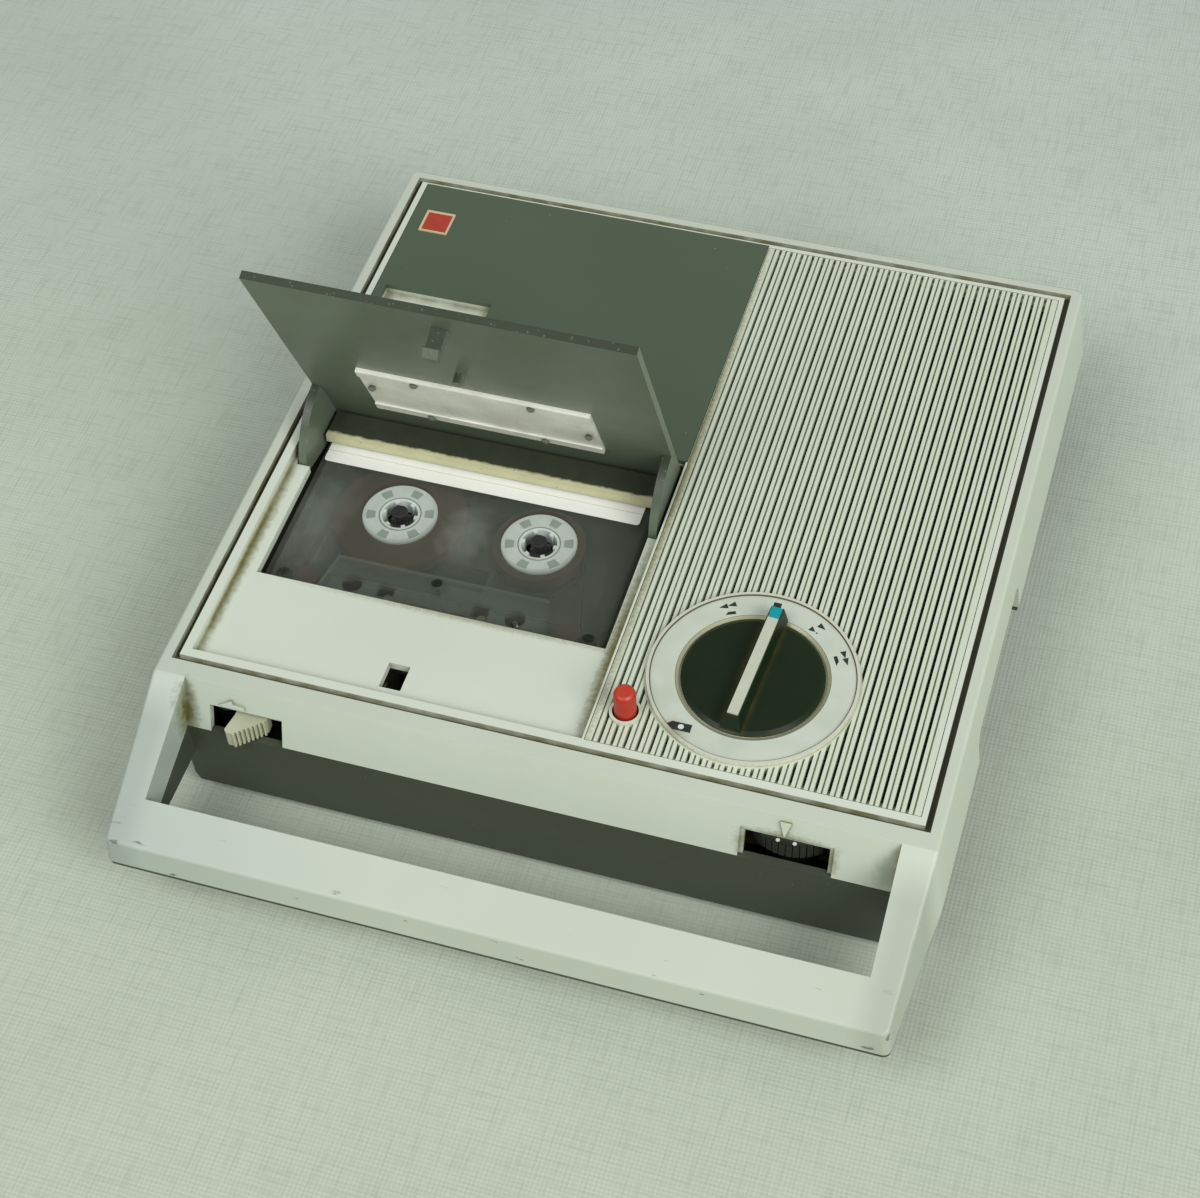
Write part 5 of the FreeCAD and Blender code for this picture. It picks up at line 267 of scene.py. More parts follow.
def handle_scuffs(tree, point, place, sideways, tone):
    """Dark scrapes along the foot of the handle, more of them towards its two ends."""
    stretched = add(tree, "Mapping", {"Vector": point, "Rotation": (0, 0, 0.5),
                                      "Scale": (1, 4, 2)})
    scrapes = add(tree, "TexNoise", {"Vector": stretched, "Scale": 1 / (7 * MM), "Detail": 5.0})
    foot = add(tree, "MapRange", {"Value": place.outputs["Y"], 1: -0.116, 2: -0.128,
                                  3: 0.0, 4: 1.0})
    ends = add(tree, "MapRange", {"Value": sideways, 1: 0.090, 2: 0.108, 3: 0.0, 4: 0.09})
    rubbed = add(tree, "Math", {0: scrapes, 1: ends}, operation="ADD")
    cut = add(tree, "MapRange", {"Value": rubbed, 1: 0.70, 2: 0.73, 3: 0.0, 4: 0.8})
    scuffs = add(tree, "Math", {0: cut, 1: foot}, operation="MULTIPLY")
    return add(tree, "Mix", {0: scuffs, 6: tone, 7: colour("5C6052")}, data_type="RGBA")


# Brown stains on the front wall, at its two ends, beside the volume wheel's notch and over it:
# place in millimetres, radius, share and shape.
FRONT_STAINS = (((-98.8, -86.5, 37.5), 4.0, 0.95, (1, 0.5, 0.3)),
                ((97, -86, 37), 5, 0.35, (1, 0.5, 0.6)),
                ((58.6, -87, 37), 3.5, 0.7, (1, 0.5, 0.6)),
                ((81.3, -87, 37), 3.5, 0.7, (1, 0.5, 0.6)),
                ((70, -86, 41.0), 2.4, 0.6, (0.15, 0.4, 1)))


def case_abs():
    """Bluer painted shade at the front left, painted shade on the handle's arms; the handle a
    little darker and scuffed; the groove dusty in front, with painted shade along its sides.
    """
    material, tree, shader, point = coat("case_abs")
    place = add(tree, "SeparateXYZ", {"Vector": point})
    # Painted shade: bluer and darker towards the front left, where the light falls off.
    slanting = add(tree, "Math", {0: place.outputs["X"], 1: place.outputs["Y"]}, operation="ADD")
    out_of_front_left_shade = add(tree, "MapRange", {"Value": slanting, 1: -0.230, 2: -0.150, 3: 0.0, 4: 1.0})
    grey = clouded(tree, point, "D3DCCC", "CAD3C2", 40)
    tone = add(tree, "Mix", {0: out_of_front_left_shade, 6: colour("BDCABF"), 7: grey}, data_type="RGBA")
    sideways = add(tree, "Math", {0: place.outputs["X"]}, operation="ABSOLUTE")
    # A little darker over the whole handle, and darker still on its slanted arms as painted shade.
    arms = add(tree, "MapRange", {"Value": sideways, 1: 0.096, 2: 0.103, 3: 0.0, 4: 1.0})
    handle = add(tree, "MapRange", {"Value": place.outputs["Y"], 1: -0.086, 2: -0.096,
                                    3: 0.0, 4: 1.0})
    handle_tone_arm_shade = add(tree, "Mix", {0: arms, 6: colour("F4F4F4"), 7: colour("DFE0E0")}, data_type="RGBA")
    tone = add(tree, "Mix", {0: handle, 6: tone, 7: handle_tone_arm_shade}, data_type="RGBA",
               blend_type="MULTIPLY")
    tone = soiled(tree, point, tone, 4.0, 0.85, "6E6A38")
    for spot, radius, share, shape in FRONT_STAINS:
        tone = stained(tree, point, tone, spot, radius, share, "66622E", shape)
    tone = groove_dust_and_shade(tree, point, place, tone)
    tone = handle_scuffs(tree, point, place, sideways, tone)
    textured(tree, shader, point, tone, 0.42, 0.7, 0.05)
    return material


case_finish = case_abs()
dress(case_finish, "upper_case")


# Lower case and battery door: injection moulded dark olive ABS, screwed on from below. Its walls
# lean in, so they stay in the shade, and it shows as the dark wall behind the handle's opening.
def base_abs():
    """Dull face with a bloom of dust."""
    material, tree, shader, point = coat("base_abs")
    tone = clouded(tree, point, "474E3F", "3E4537", 25)
    tone = specked(tree, point, tone, 3.0, 0.25, 0.2, "8A8E7C")
    tone = soiled(tree, point, tone, 3.0, 0.3, "5B5840")
    textured(tree, shader, point, tone, 0.55, 0.5, 0.05)
    return material


dress(base_abs(), "lower_case", "battery_door")


# Top panel and cassette shelf: ivory ABS, dropped into the case and held by the long case screws.
# Handling has left brown grime along the edges of the well and of the deck.
DECK_TOP = 44.5
# Grime along the deck's left, right and rear borders: place in millimetres, radius, share, shape.
DECK_STAINS = (((-102, -36, DECK_TOP), 4.0, 0.95, (1, 0.07, 1.6)),
               ((10, -40, DECK_TOP), 3.4, 0.85, (1, 0.07, 1.6)),
               ((-30, -41.3, DECK_TOP), 2.0, 0.5, (0.03, 1, 1)))


def panel_abs():
    """Grimy along each edge, and most along the deck's left and right borders."""
    material, tree, shader, point = coat("panel_abs")
    tone = clouded(tree, point, "E0E8DB", "D8E0D0", 30)
    tone = soiled(tree, point, tone, 3.5, 0.85, "726C30")
    for place, radius, share, shape in DECK_STAINS:
        tone = stained(tree, point, tone, place, radius, share, "7C7434", shape)
    textured(tree, shader, point, tone, 0.4, 0.6, 0.04)
    return material


def shelf_abs():
    """The same ivory, yellow along its lip, dark behind it with dust from under the lid's roll and
    with the roll's painted shadow.
    """
    material, tree, shader, point = coat("shelf_abs")
    tone = clouded(tree, point, "DEDDB6", "C6C396", 8)
    tone = specked(tree, point, tone, 2.5, 0.35, 0.4, "8B7F4C")
    back = add(tree, "SeparateXYZ", {"Vector": point}).outputs["Y"]
    clumps = add(tree, "TexNoise", {"Vector": point, "Scale": 1 / (2 * MM), "Detail": 3.0})
    ragged = add(tree, "Math", {0: clumps, 1: 1.4 * MM, 2: back}, operation="MULTIPLY_ADD")
    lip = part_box("cassette_shelf")[0].y
    behind = add(tree, "MapRange", {"Value": ragged, 1: lip + 2.0 * MM, 2: lip + 2.9 * MM,
                                    3: 0.0, 4: 1.0})
    # Behind the lip: the lid roll's painted shadow together with the dust that lies there.
    dust = clouded(tree, point, "3E4432", "2C3226", 4)
    tone = add(tree, "Mix", {0: behind, 6: tone, 7: dust}, data_type="RGBA")
    tone = soiled(tree, point, tone, 3.0, 0.4, "4A4A30")
    textured(tree, shader, point, tone, 0.5, 0.5, 0.05)
    return material


def lever_abs():
    """The same ivory, stained by the thumb."""
    material, tree, shader, point = coat("lever_abs")
    tone = clouded(tree, point, "C9CDB4", "B4B795", 5)
    tone = soiled(tree, point, tone, 1.5, 0.8, "6E6A3C")
    textured(tree, shader, point, tone, 0.42, 0.6, 0.04)
    return material


dress(panel_abs(), "top_panel")
dress(lever_abs(), "eject_lever")
dress(shelf_abs(), "cassette_shelf")


# Trim plate: moulded dark grey ABS plate with a satin face under light dust. It is glued on
# behind the well.
def trim_abs():
    """Satin grey with pale dust specks."""
    material, tree, shader, point = coat("trim_abs")
    tone = clouded(tree, point, "586853", "505E4A", 60)
    tone = specked(tree, point, tone, 6.0, 0.3, 0.35, "8D9586")
    textured(tree, shader, point, tone, 0.4, 0.5, 0.02)
    return material


dress(trim_abs(), "trim_plate")


# Badge: a small square of red enamelled plate with a pale raised border. It is pressed on, and
# its face is bare.
def badge_enamel():
    """Red field inside a pale border that follows the plate's edge."""
    material, tree, shader, point = coat("badge_enamel")
    low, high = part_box("badge")
    middle = (low + high) / 2
    border = 0.75 * MM  # width of the pale border
    centred = add(tree, "VectorMath", {0: point, 1: middle}, operation="SUBTRACT")
    folded = add(tree, "VectorMath", {0: centred}, operation="ABSOLUTE")
    out = add(tree, "SeparateXYZ", {"Vector": folded})
    far = add(tree, "Math", {0: out.outputs["X"], 1: out.outputs["Y"]}, operation="MAXIMUM")
    rim = add(tree, "Math", {0: far, 1: (high.x - low.x) / 2 - border}, operation="GREATER_THAN")
    field = clouded(tree, point, "BF4630", "B03C28", 3)
    tone = add(tree, "Mix", {0: rim, 6: field, 7: colour("D9C9A6")}, data_type="RGBA")
    textured(tree, shader, point, tone, 0.3, 0.8, 0.02)
    return material


dress(badge_enamel(), "badge")


# Speaker grille and cloth: one ribbed ivory moulding over a woven dark cloth. Every second groove
# is an open slot, and fine brown dust lines the grooves.
def grille_abs():
    """Ivory ribs, soiled in the grooves between them."""
    material, tree, shader, point = coat("grille_abs")
    tone = clouded(tree, point, "DEE6D4", "D3DCC6", 25)
    tone = soiled(tree, point, tone, 0.8, 0.5, "6C6C46")
    tone = stained(tree, point, tone, (11.5, 20, 48), 2.6, 0.9, "7E7A45", (1, 0.02, 1))
    textured(tree, shader, point, tone, 0.42, 0.5, 0.03)
    return material


def speaker_weave():
    """Dark cloth of 0.8 mm weave, drawn 1.57 mm so that it shows."""
    material, tree, shader, point = coat("speaker_weave")
    spacing = 1.57 * MM
    bands = {"Vector": point, "Scale": WAVE_PERIOD / spacing}
    warp = add(tree, "TexWave", bands, bands_direction="X")
    weft = add(tree, "TexWave", bands, bands_direction="Y")
    weave = add(tree, "Math", {0: warp, 1: weft}, operation="MULTIPLY")
    tone = add(tree, "Mix", {0: weave, 6: colour("1E1F18"), 7: colour("3A3A2C")}, data_type="RGBA")
    relief = add(tree, "Bump", {"Height": weave, "Strength": 0.6, "Distance": 0.2 * MM})
    feed(tree, shader, {"Base Color": tone, "Roughness": 0.9, "Normal": relief})
    return material


dress(grille_abs(), "speaker_grille")
dress(speaker_weave(), "speaker_cloth")


# Dial ring: spun and brushed aluminium with a turned lip, pressed into the grille. The transport
# marks are printed on it in black.
DIAL = Vector((49.35, -42.7, 49.0)) * MM  # where the knob's axis meets the ring's face
RING_OUTER = 28.7 * MM
LIP = 0.8 * MM  # width of the pale lip at the outer edge
BEVEL = 20.8 * MM  # radius at which the darker inner edge ends


def radius_from(tree, point, centre):
    """Distance of the point from an upright axis through centre."""
    moved = add(tree, "VectorMath", {0: point, 1: centre}, operation="SUBTRACT")
    flat = add(tree, "VectorMath", {0: moved, 1: (1, 1, 0)}, operation="MULTIPLY")
    return add(tree, "VectorMath", {0: flat}, operation="LENGTH").outputs["Value"]


def ring_aluminium():
    """Circular brushing 0.2 mm apart, drawn 0.4 mm, clouded with painted highlights, with a dark
    line inside the lip.
    """
    material, tree, shader, point = coat("ring_aluminium")
    radius = radius_from(tree, point, DIAL)
    along = add(tree, "CombineXYZ", {"X": radius})
    brushed = add(tree, "TexNoise", {"Vector": along, "Scale": 1 / (0.4 * MM), "Detail": 3.0})
    # Painted highlights: these large clouded light and dark patches stand in for the brushed ring's
    # highlights.
    bloom = clouded(tree, point, "BDCEB2", "FFFFFC", 8)
    tone = add(tree, "Mix", {0: brushed, 6: bloom, 7: colour("E0EBD9")}, data_type="RGBA")
    for low, high, tint in ((RING_OUTER - LIP, 2 * RING_OUTER, "E6E9D8"), (0.0, BEVEL, "B4B698"),
                            (RING_OUTER - LIP - 0.3 * MM, RING_OUTER - LIP, "6E705A"),
                            (BEVEL, BEVEL + 0.2 * MM, "8E917A")):
        line = within(tree, radius, low, high)
        tone = add(tree, "Mix", {0: line, 6: tone, 7: colour(tint)}, data_type="RGBA")
    tone = soiled(tree, point, tone, 1.5, 0.6, "77703F")
    tone = stained(tree, point, tone, (33, -66, 49), 6, 0.45, "8A8350")
    rough = add(tree, "MapRange", {"Value": brushed, 1: 0.3, 2: 0.7, 3: 0.3, 4: 0.42})
    relief = add(tree, "Bump", {"Height": brushed, "Strength": 0.15, "Distance": 0.05 * MM})
    feed(tree, shader, {"Base Color": tone, "Metallic": 0.25, "Roughness": rough,
                        "Normal": relief})
    return material


dress(ring_aluminium(), "dial_ring")


def ink(name, code):
    """Screen printing ink: a thin satin film with worn flecks."""
    material, tree, shader, point = coat(name)
    fleck = add(tree, "TexNoise", {"Vector": point, "Scale": 1 / (0.5 * MM), "Detail": 2.0})
    worn = add(tree, "MapRange", {"Value": fleck, 1: 0.62, 2: 0.72, 3: 0.0, 4: 0.35})
    tone = add(tree, "Mix", {0: worn, 6: colour(code), 7: colour("8E928A")}, data_type="RGBA")
    feed(tree, shader, {"Base Color": tone, "Roughness": 0.5})
    return material


def stamp(name, outlines, place, right, up, height, material, body):
    """Flat marks: each outline in millimetres is carried from just under the surface to height."""
    right, up = np.array(right, float), np.array(up, float)
    normal = np.cross(right, up)
    points, faces, start = [], [], 0
    for outline in outlines:
        flat = np.array(outline, float) * MM
        base = np.array(place, float) + flat[:, :1] * right + flat[:, 1:] * up
        count = len(flat)
        ring = np.arange(count)
        following = np.roll(ring, -1)
        points += [base - 0.2 * height * normal, base + height * normal]
        sides = np.stack([ring, following, following + count, ring + count], -1)
        faces += (start + sides).tolist()
        faces += [(start + count + ring).tolist(), (start + ring[::-1]).tolist()]
        start += 2 * count
    mesh = bpy.data.meshes.new(name)
    mesh.from_pydata(np.vstack(points).tolist(), [], faces)
    piece = bpy.data.objects.new(name, mesh)
    bpy.context.scene.collection.objects.link(piece)
    mesh.materials.append(material)
    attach(piece, body)


black_ink = ink("black_ink", "2A2D28")
white_ink = ink("white_ink", "E3E6DF")
# Each mark: its angle on the dial to the left of straight back, its distance from the axis, and its
# outlines in millimetres, rightwards and outwards from there.
LEFT_ARROW = [(-2.2, 0.0), (0.2, -0.85), (0.2, 0.85)]
RIGHT_ARROW = [(2.2, 0.0), (-0.2, 0.85), (-0.2, -0.85)]
BAR = [(-1.1, -1.1), (1.1, -1.1), (1.1, 1.1), (-1.1, 1.1)]
LEFT_WEDGE = [(-1.5, -0.1), (1.4, -0.5), (1.4, 0.5), (-0.6, 0.7)]
RIGHT_WEDGE = [(1.6, -0.3), (0.4, 0.7), (-1.5, 0.7), (-1.5, -0.3)]
MARKS = {
    "rewind_mark": (31.3, 25.0, [LEFT_ARROW, [(x + 2.4, y) for x, y in LEFT_ARROW]]),
    "rewind_pointer": (30.6, 22.2, [LEFT_WEDGE]),
    "stop_mark": (-0.6, 25.0, [BAR]),
    "play_mark": (-31.2, 25.2, [RIGHT_ARROW]),
    "play_pointer": (-31.0, 22.7, [[(-1.0, -0.9), (0.8, 0.0), (-1.0, 0.9)],
                                   [(1.2, -0.3), (1.8, 0.0), (1.2, 0.3)]]),
    "wind_mark": (-61.4, 25.6, [RIGHT_ARROW, [(x - 2.4, y) for x, y in RIGHT_ARROW]]),
    "wind_pointer": (-61.4, 22.9, [RIGHT_WEDGE]),
}
PRINT = 0.04 * MM  # thickness of the print
for name, (angle, radius, outlines) in MARKS.items():
    away = Vector((-math.sin(math.radians(angle)), math.cos(math.radians(angle)), 0))
    sideways = Vector((away.y, -away.x, 0))
    stamp(name, outlines, DIAL + away * radius * MM, sideways, away, PRINT, black_ink,
          "housing")
FLAG = [(-3.6, 0.0), (-2.2, -1.3), (3.3, -1.3), (3.3, 1.3), (-2.2, 1.3)]
FLAG_PLACE = Vector((34.75, -63.8, 49.0)) * MM
stamp("record_mark", [FLAG], FLAG_PLACE, (1, 0, 0), (0, 1, 0), PRINT, black_ink,
      "housing")
turns = np.linspace(0, 2 * np.pi, 24, endpoint=False)
DOT = np.stack([0.5 + 0.8 * np.cos(turns), 0.8 * np.sin(turns)], -1)
stamp("record_mark_dot", [DOT], FLAG_PLACE, (1, 0, 0), (0, 1, 0), 2 * PRINT, white_ink,
      "housing")


# Selector knob: black phenolic disc with a grip bar. Its stripe is a white inlay and its tip a
# blue one. Dust has settled along the foot of the grip.
def knob_phenolic():
    """Black with a soft gloss, fine scratches and brown dust."""
    material, tree, shader, point = coat("knob_phenolic")
    tone = clouded(tree, point, "182414", "202E1C", 12)
    tone = specked(tree, point, tone, 1.6, 0.12, 0.25, "4A5242")
    tone = soiled(tree, point, tone, 2.0, 0.6, "6A6438")
    textured(tree, shader, point, tone, 0.34, 2.0, 0.01)
    feed(tree, shader, {"Specular IOR Level": 0.2})
    return material


def inlay(name, light, dark):
    """Polished inlay, a little worn and dusty."""
    material, tree, shader, point = coat(name)
    tone = clouded(tree, point, light, dark, 4)
    tone = specked(tree, point, tone, 1.5, 0.12, 0.3, "8C8A76")
    textured(tree, shader, point, tone, 0.35, 1.0, 0.01)
    return material


dress(knob_phenolic(), "function_knob")
dress(inlay("white_inlay", "D3D8C8", "C2C8B4"), "knob_stripe")
dress(inlay("blue_inlay", "00A8AE", "0097A0"), "knob_tip")


# Record button: moulded red ABS cap on a stem that a spring holds up. It stands in a pale collar
# of the grille, and use has worn its top.
def button_abs():
    """Bright red, paler on the worn top."""
    material, tree, shader, point = coat("button_abs")
    tone = clouded(tree, point, "C62C16", "B02412", 3)
    height = add(tree, "SeparateXYZ", {"Vector": point}).outputs["Z"]
    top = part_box("record_button")[1].z
    worn = add(tree, "MapRange", {"Value": height, 1: top - 0.8 * MM, 2: top, 3: 0.0, 4: 0.3})
    tone = add(tree, "Mix", {0: worn, 6: tone, 7: colour("D9634C")}, data_type="RGBA")
    tone = soiled(tree, point, tone, 2.0, 0.5, "5A1E14")
    textured(tree, shader, point, tone, 0.38, 0.8, 0.02)
    return material


dress(button_abs(), "record_button")


# Volume wheel: knurled black ABS wheel that shows in the front wall's notch, with two printed
# dots. Selector switch, volume control, sockets and their panel are the same dull black plastic.
def black_abs(name, light, dark, rough):
    """Dull black moulding with grey dust in its recesses."""
    material, tree, shader, point = coat(name)
    tone = clouded(tree, point, light, dark, 10)
    tone = soiled(tree, point, tone, 1.5, 0.45, "6C6A58")
    textured(tree, shader, point, tone, rough, 0.5, 0.04)
    return material


dress(black_abs("wheel_abs", "1B1E17", "23261F", 0.45), "volume_wheel")
dress(black_abs("socket_abs", "24252A", "1E1F22", 0.5), "jack_panel", "jack_sockets")
dress(black_abs("switch_abs", "2A2A2C", "232325", 0.5), "selector_switch", "volume_control",
      "supply_spindle", "takeup_spindle", "erase_head")
WHEEL_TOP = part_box("volume_wheel")[1].z
WHEEL_DOT = 0.55 * np.stack([np.cos(turns), np.sin(turns)], -1)
for name, x in (("wheel_dot_left", 67.3), ("wheel_dot_right", 71.8)):
    stamp(name, [WHEEL_DOT], (x * MM, -85.1 * MM, WHEEL_TOP), (1, 0, 0), (0, 1, 0), 0.05 * MM,
          white_ink, "volume")


# Marks on the front wall: an arrow over the eject lever and a pointer over the volume wheel, both
# raised in the case moulding. Between them the wall is plain.
LEAN = math.atan2(5.0, 16.0)  # the light front wall leans out by 5 mm over its 16 mm
PANEL_LEFT = 105.35  # millimetres from the middle to the left edge of the panel's opening
WALL_UP = Vector((0, math.sin(LEAN), math.cos(LEAN)))
WALL_TOP = Vector((0, -83.0, 48.0)) * MM


def on_wall(name, outline):
    """Raises a mark: millimetres to the right of the opening's left edge and below the top."""
    flat = np.array(outline, float)
    flat[:, 0] -= PANEL_LEFT
    flat[:, 1] /= -math.cos(LEAN)
    stamp(name, [flat[::-1]], WALL_TOP, (1, 0, 0), WALL_UP, 0.7 * MM, case_finish,
          "housing")


on_wall("eject_arrow", [(16.0, 6.4), (19.9, 4.1), (20.2, 5.2), (23.6, 5.5), (23.6, 6.4)])
on_wall("volume_pointer", [(172.9, 1.6), (175.9, 1.6), (174.55, 6.2), (174.25, 6.2)])


# Lid: smoked acrylic plate that curls round its hinge, with the hook, the peg and the stakes that
# hold a clear insert. Dust has dulled its inner face.
def smoked_acrylic():
    """Dark green grey under a haze of fine dust and a few larger specks; its faces that look up are
    darker.
    """
    material, tree, shader, point = coat("smoked_acrylic")
    tone = clouded(tree, point, "6C7866", "626D5B", 20)
    # Darker on the faces that look up, such as the top edge, by which way each face looks.
    own_normal = add(tree, "TexCoord", {}).outputs["Normal"]
    facing = add(tree, "SeparateXYZ", {"Vector": own_normal}).outputs["Z"]
    upper_edge = add(tree, "MapRange", {"Value": facing, 1: 0.5, 2: 0.8, 3: 0.0, 4: 1.0})
    tone = add(tree, "Mix", {0: upper_edge, 6: tone, 7: colour("3A4333")}, data_type="RGBA")
    tone = specked(tree, point, tone, 0.9, 0.3, 0.2, "7E8876")
    tone = specked(tree, point, tone, 5.0, 0.2, 0.25, "A3AA98")
    textured(tree, shader, point, tone, 0.34, 1.5, 0.006)
    feed(tree, shader, {"IOR": 1.49})
    return material


def insert_polystyrene():
    """Clear once, now clouded white by dust, and a little see-through where it is cleaner."""
    material, tree, shader, point = coat("insert_polystyrene")
    tone = clouded(tree, point, "FFFFF6", "F0F3E2", 5)
    tone = specked(tree, point, tone, 1.4, 0.2, 0.3, "8E8C70")
    tone = soiled(tree, point, tone, 1.5, 0.3, "8A8560")
    patches = add(tree, "TexNoise", {"Vector": point, "Scale": 1 / (9 * MM), "Detail": 3.0})
    haze = add(tree, "MapRange", {"Value": patches, 1: 0.35, 2: 0.65, 3: 0.86, 4: 1.0})
    textured(tree, shader, point, tone, 0.25, 1.0, 0.03)
    feed(tree, shader, {"Alpha": haze, "IOR": 1.59})
    return material


dress(smoked_acrylic(), "cassette_lid")
dress(insert_polystyrene(), "lid_window")


# Cassette: two shells of smoky clear polystyrene held by five screws, a paper label, white hubs
# with dark tape packs, guide rollers and the tape itself.
SUPPLY_AXIS = Vector((-66.1, -5.7, 0)) * MM
TAKEUP_AXIS = Vector((-23.6, -5.7, 0)) * MM
HUB_RADIUS = 11.0 * MM
SHELL_FACE = 40.5
# Pale haze between the hubs and at the left end: place in millimetres, radius, share and shape.
HAZE = (((-45, -9, SHELL_FACE), 9, 0.7, (1, 0.6, 1)),
        ((-88, -14, SHELL_FACE), 12, 0.6, (1, 0.5, 1)))


def smoky_polystyrene():
    """Clear grey: what lies inside shows through it, most in the slip sheets' round holes."""
    material, tree, shader, point = coat("smoky_polystyrene")
    tone = clouded(tree, point, "727B6F", "555D52", 12)
    for place, radius, share, shape in HAZE:
        tone = stained(tree, point, tone, place, radius, share, "B4BDB2", shape)
    height = add(tree, "SeparateXYZ", {"Vector": point}).outputs["Z"]
    raised = add(tree, "MapRange", {"Value": height, 1: (SHELL_FACE + 0.1) * MM,
                                    2: (SHELL_FACE + 0.4) * MM, 3: 0.0, 4: 0.5})
    tone = add(tree, "Mix", {0: raised, 6: tone, 7: colour("8E9A90")}, data_type="RGBA")
    tone = specked(tree, point, tone, 1.8, 0.14, 0.4, "AEB6A8")
    tone = soiled(tree, point, tone, 1.2, 0.5, "A2A898")
    textured(tree, shader, point, tone, 0.14, 0.3, 0.001)
    to_supply = radius_from(tree, point, SUPPLY_AXIS)
    to_takeup = radius_from(tree, point, TAKEUP_AXIS)
    near = add(tree, "Math", {0: to_supply, 1: to_takeup}, operation="MINIMUM")
    film = add(tree, "MapRange", {"Value": near, 1: HUB_RADIUS - 0.2 * MM,
                                  2: HUB_RADIUS + 0.2 * MM, 3: 0.08, 4: 0.25})
    feed(tree, shader, {"Alpha": film, "IOR": 1.59})
    return material


def label_paper():
    """Coated white paper, bare but for two thin ruled lines."""
    material, tree, shader, point = coat("label_paper")
    tone = clouded(tree, point, "FBFCF7", "F2F4EA", 15)
    back = add(tree, "SeparateXYZ", {"Vector": point}).outputs["Y"]
    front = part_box("cassette_label")[0].y
    for height in (4.2, 8.6):
        line = within(tree, back, front + (height - 0.12) * MM, front + (height + 0.12) * MM)
        tone = add(tree, "Mix", {0: line, 6: tone, 7: colour("CDD2C8")}, data_type="RGBA")
    fibres = add(tree, "TexNoise", {"Vector": point, "Scale": 1 / (0.4 * MM), "Detail": 3.0})
    relief = add(tree, "Bump", {"Height": fibres, "Strength": 0.1, "Distance": 0.03 * MM})
    feed(tree, shader, {"Base Color": tone, "Roughness": 0.45, "Normal": relief})
    return material


def wound_reel(name, centre):
    """White hub with six clear windows, then wound tape whose edges make rings, drawn 0.5 mm."""
    material, tree, shader, point = coat(name)
    radius = radius_from(tree, point, centre)
    along = add(tree, "CombineXYZ", {"X": radius})
    rings = add(tree, "TexNoise", {"Vector": along, "Scale": 1 / (0.5 * MM), "Detail": 2.0})
    tape = add(tree, "Mix", {0: rings, 6: colour("43302B"), 7: colour("60473F")}, data_type="RGBA")
    moved = add(tree, "VectorMath", {0: point, 1: centre}, operation="SUBTRACT")
    flat = add(tree, "SeparateXYZ", {"Vector": moved})
    angle = add(tree, "Math", {0: flat.outputs["Y"], 1: flat.outputs["X"]}, operation="ARCTAN2")
    sixfold = add(tree, "Math", {0: angle, 1: 6.0}, operation="MULTIPLY")
    six = add(tree, "Math", {0: sixfold}, operation="SINE")
    cut = add(tree, "Math", {0: six, 1: 0.5}, operation="GREATER_THAN")
    window_ring = within(tree, radius, 7.2 * MM, 9.9 * MM)
    window = add(tree, "Math", {0: cut, 1: window_ring}, operation="MULTIPLY")
    hub = clouded(tree, point, "E6EEE6", "CBD6CD", 3)
    hub = add(tree, "Mix", {0: window, 6: hub, 7: colour("A3AFA5")}, data_type="RGBA")
    collar = within(tree, radius, 5.9 * MM, 6.3 * MM)
    hub = add(tree, "Mix", {0: collar, 6: hub, 7: colour("8A958C")}, data_type="RGBA")
    outside = add(tree, "Math", {0: radius, 1: HUB_RADIUS}, operation="GREATER_THAN")
    tone = add(tree, "Mix", {0: outside, 6: hub, 7: tape}, data_type="RGBA")
    relief = add(tree, "Bump", {"Height": rings, "Strength": 0.2, "Distance": 0.05 * MM})
    feed(tree, shader, {"Base Color": tone, "Roughness": 0.4, "Normal": relief})
    return material


dress(smoky_polystyrene(), "cassette_upper", "cassette_lower")
dress(label_paper(), "cassette_label")
dress(wound_reel("supply_pack", SUPPLY_AXIS), "supply_reel")
dress(wound_reel("takeup_pack", TAKEUP_AXIS), "takeup_reel")
FAR_BEHIND = Vector((-44.85, 200.0, 0)) * MM  # so that no hub shows on the tape's own path
dress(wound_reel("loose_tape", FAR_BEHIND), "tape_path")


# Drive, heads and springs: pressed and turned steel with a dull zinc plating, brass bearing and
# pulley, rubber belt and rollers.
def metal(name, light, dark, rough, grain):
    """Worked metal: its tone drifts, and tool marks of grain millimetres break its gloss."""
    material, tree, shader, point = coat(name)
    tone = clouded(tree, point, light, dark, 9)
    tone = soiled(tree, point, tone, 1.5, 0.4, "4A4636")
    stretched = add(tree, "Mapping", {"Vector": point, "Scale": (1, 8, 8)})
    tooling = add(tree, "TexNoise", {"Vector": stretched, "Scale": 1 / (8 * grain * MM),
                                     "Detail": 3.0})
    gloss = add(tree, "MapRange", {"Value": tooling, 1: 0.3, 2: 0.7,
                                   3: rough - 0.08, 4: rough + 0.1})
    relief = add(tree, "Bump", {"Height": tooling, "Strength": 0.1, "Distance": 0.004 * MM})
    feed(tree, shader, {"Base Color": tone, "Metallic": 1.0, "Roughness": gloss, "Normal": relief})
    return material


def rubber(name, light, dark):
    """Dull black rubber, greyed by bloom."""
    material, tree, shader, point = coat(name)
    tone = clouded(tree, point, light, dark, 5)
    textured(tree, shader, point, tone, 0.75, 0.4, 0.06)
    feed(tree, shader, {"IOR": 1.52})
    return material


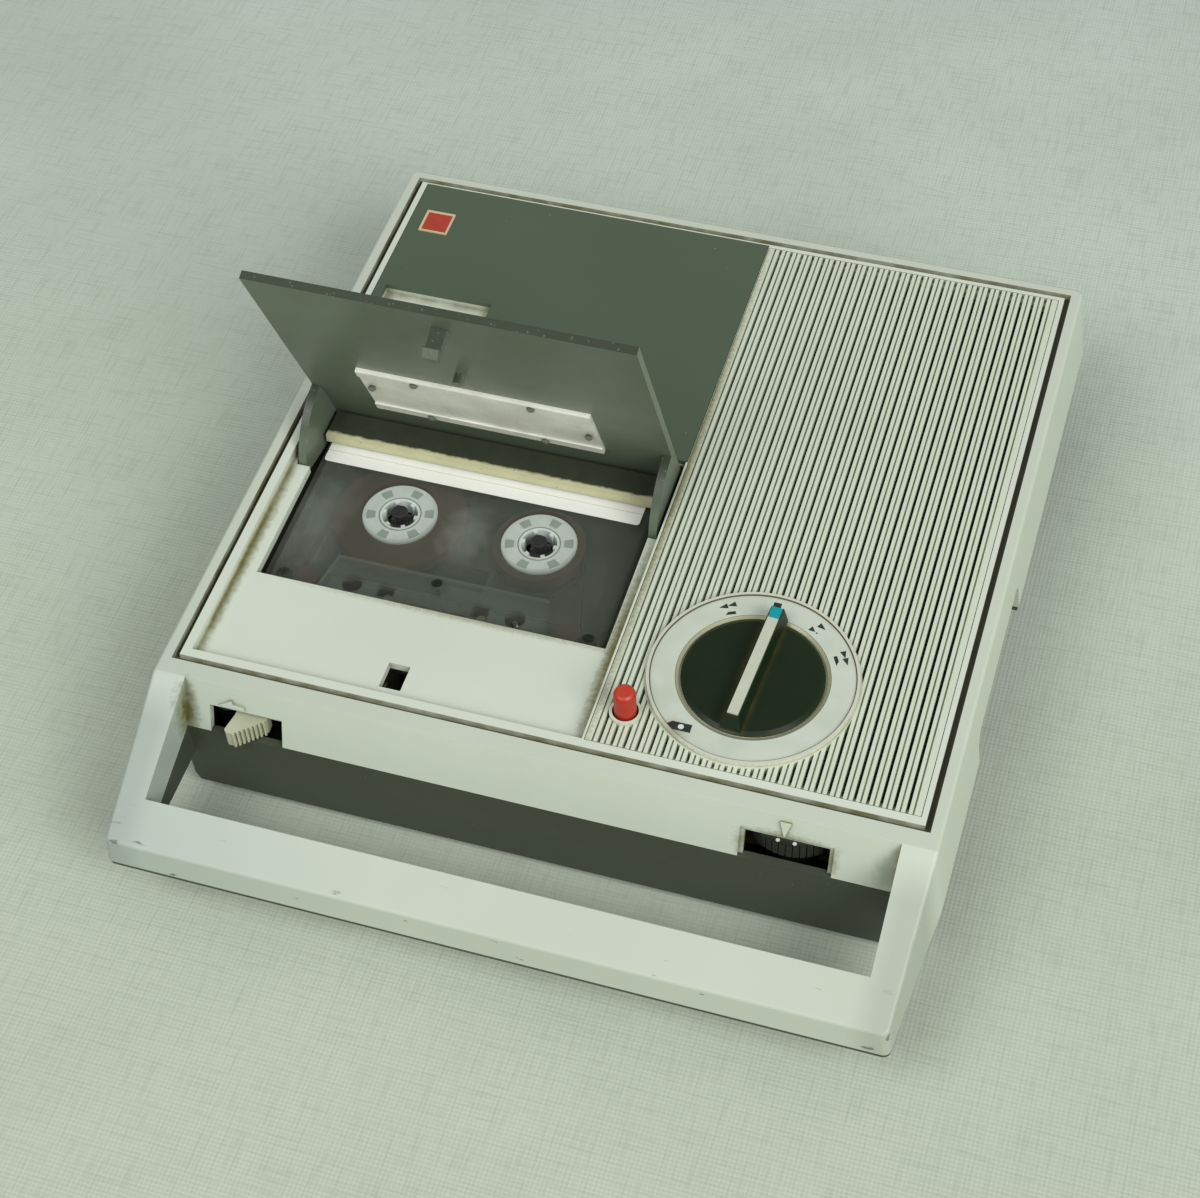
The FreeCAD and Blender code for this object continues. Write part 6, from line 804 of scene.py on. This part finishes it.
dress(metal("zinc_plate", "B4B4A8", "9C9C90", 0.38, 0.4), "chassis_plate", "flywheel_strap",
      "head_bridge", "pinch_arm", "lid_latch", "eject_frame", "speaker_frame", "motor")
dress(metal("black_steel", "6A6E68", "585C56", 0.3, 0.2), "cassette_screws")
dress(metal("screw_steel", "B8B8B2", "A2A29C", 0.3, 0.2), "case_screws", "mounting_screws",
      "slide_guides", "knob_shaft", "record_spring", "hinge_pins")
dress(metal("turned_steel", "C2C2BE", "ACACA8", 0.22, 0.2), "flywheel", "record_head")
dress(metal("turned_brass", "C8A45C", "B08C48", 0.3, 0.2), "capstan_bearing", "motor_pulley",
      "battery_contacts")
dress(rubber("roller_rubber", "2C2C2A", "353532"), "pinch_roller", "drive_belt", "rubber_feet")


# Inside the case: speaker cone of pressed paper, brown laminate board with its soldered parts,
# and four cells in printed steel jackets. Screws hold the board, and springs the cells.
def cone_paper():
    """Pressed grey black paper with short fibres."""
    material, tree, shader, point = coat("cone_paper")
    tone = clouded(tree, point, "34322E", "2A2825", 6)
    fibres = add(tree, "TexNoise", {"Vector": point, "Scale": 1 / (0.6 * MM), "Detail": 4.0})
    relief = add(tree, "Bump", {"Height": fibres, "Strength": 0.4, "Distance": 0.1 * MM})
    feed(tree, shader, {"Base Color": tone, "Roughness": 0.85, "Normal": relief})
    return material


def board_laminate():
    """Brown laminate with tinned copper tracks 1.5 mm wide on its underside."""
    material, tree, shader, point = coat("board_laminate")
    tone = clouded(tree, point, "5C4A2E", "4A3B24", 10)
    tracks = add(tree, "TexBrick", {"Vector": point, "Scale": 1 / (20 * MM), "Mortar Size": 0.04,
                                    "Bias": 0.0})
    under = add(tree, "Math", {0: upright_part(tree), 1: -0.5}, operation="LESS_THAN")
    tinned = add(tree, "Math", {0: tracks.outputs["Fac"], 1: under}, operation="MULTIPLY")
    tone = add(tree, "Mix", {0: tinned, 6: tone, 7: colour("A9ABA2")}, data_type="RGBA")
    textured(tree, shader, point, tone, 0.4, 0.8, 0.03)
    return material


def parts_lacquer():
    """Capacitor sleeves, coil cans and resistors: lacquer that differs from part to part."""
    material, tree, shader, point = coat("parts_lacquer")
    cells = add(tree, "TexVoronoi", {"Vector": point, "Scale": 1 / (16 * MM)})
    tone = add(tree, "Mix", {0: cells.outputs["Color"], 6: colour("3A4A5E"), 7: colour("A8603A")},
               data_type="RGBA")
    tone = soiled(tree, point, tone, 1.5, 0.4, "4A4636")
    textured(tree, shader, point, tone, 0.35, 0.8, 0.03)
    return material


def cell_wrap():
    """Printed steel jacket: dark red with a pale band near one end of each cell."""
    material, tree, shader, point = coat("cell_wrap")
    tone = clouded(tree, point, "7A2E2A", "6C2723", 12)
    along = add(tree, "SeparateXYZ", {"Vector": point}).outputs["X"]
    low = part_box("battery_cells")[0].x
    for start in (8.0, 58.0):
        band = within(tree, along, low + start * MM, low + (start + 6) * MM)
        tone = add(tree, "Mix", {0: band, 6: tone, 7: colour("D8D2BE")}, data_type="RGBA")
    textured(tree, shader, point, tone, 0.3, 1.0, 0.02)
    return material


dress(cone_paper(), "speaker_cone")
dress(board_laminate(), "circuit_board")
dress(parts_lacquer(), "board_parts")
dress(cell_wrap(), "battery_cells")
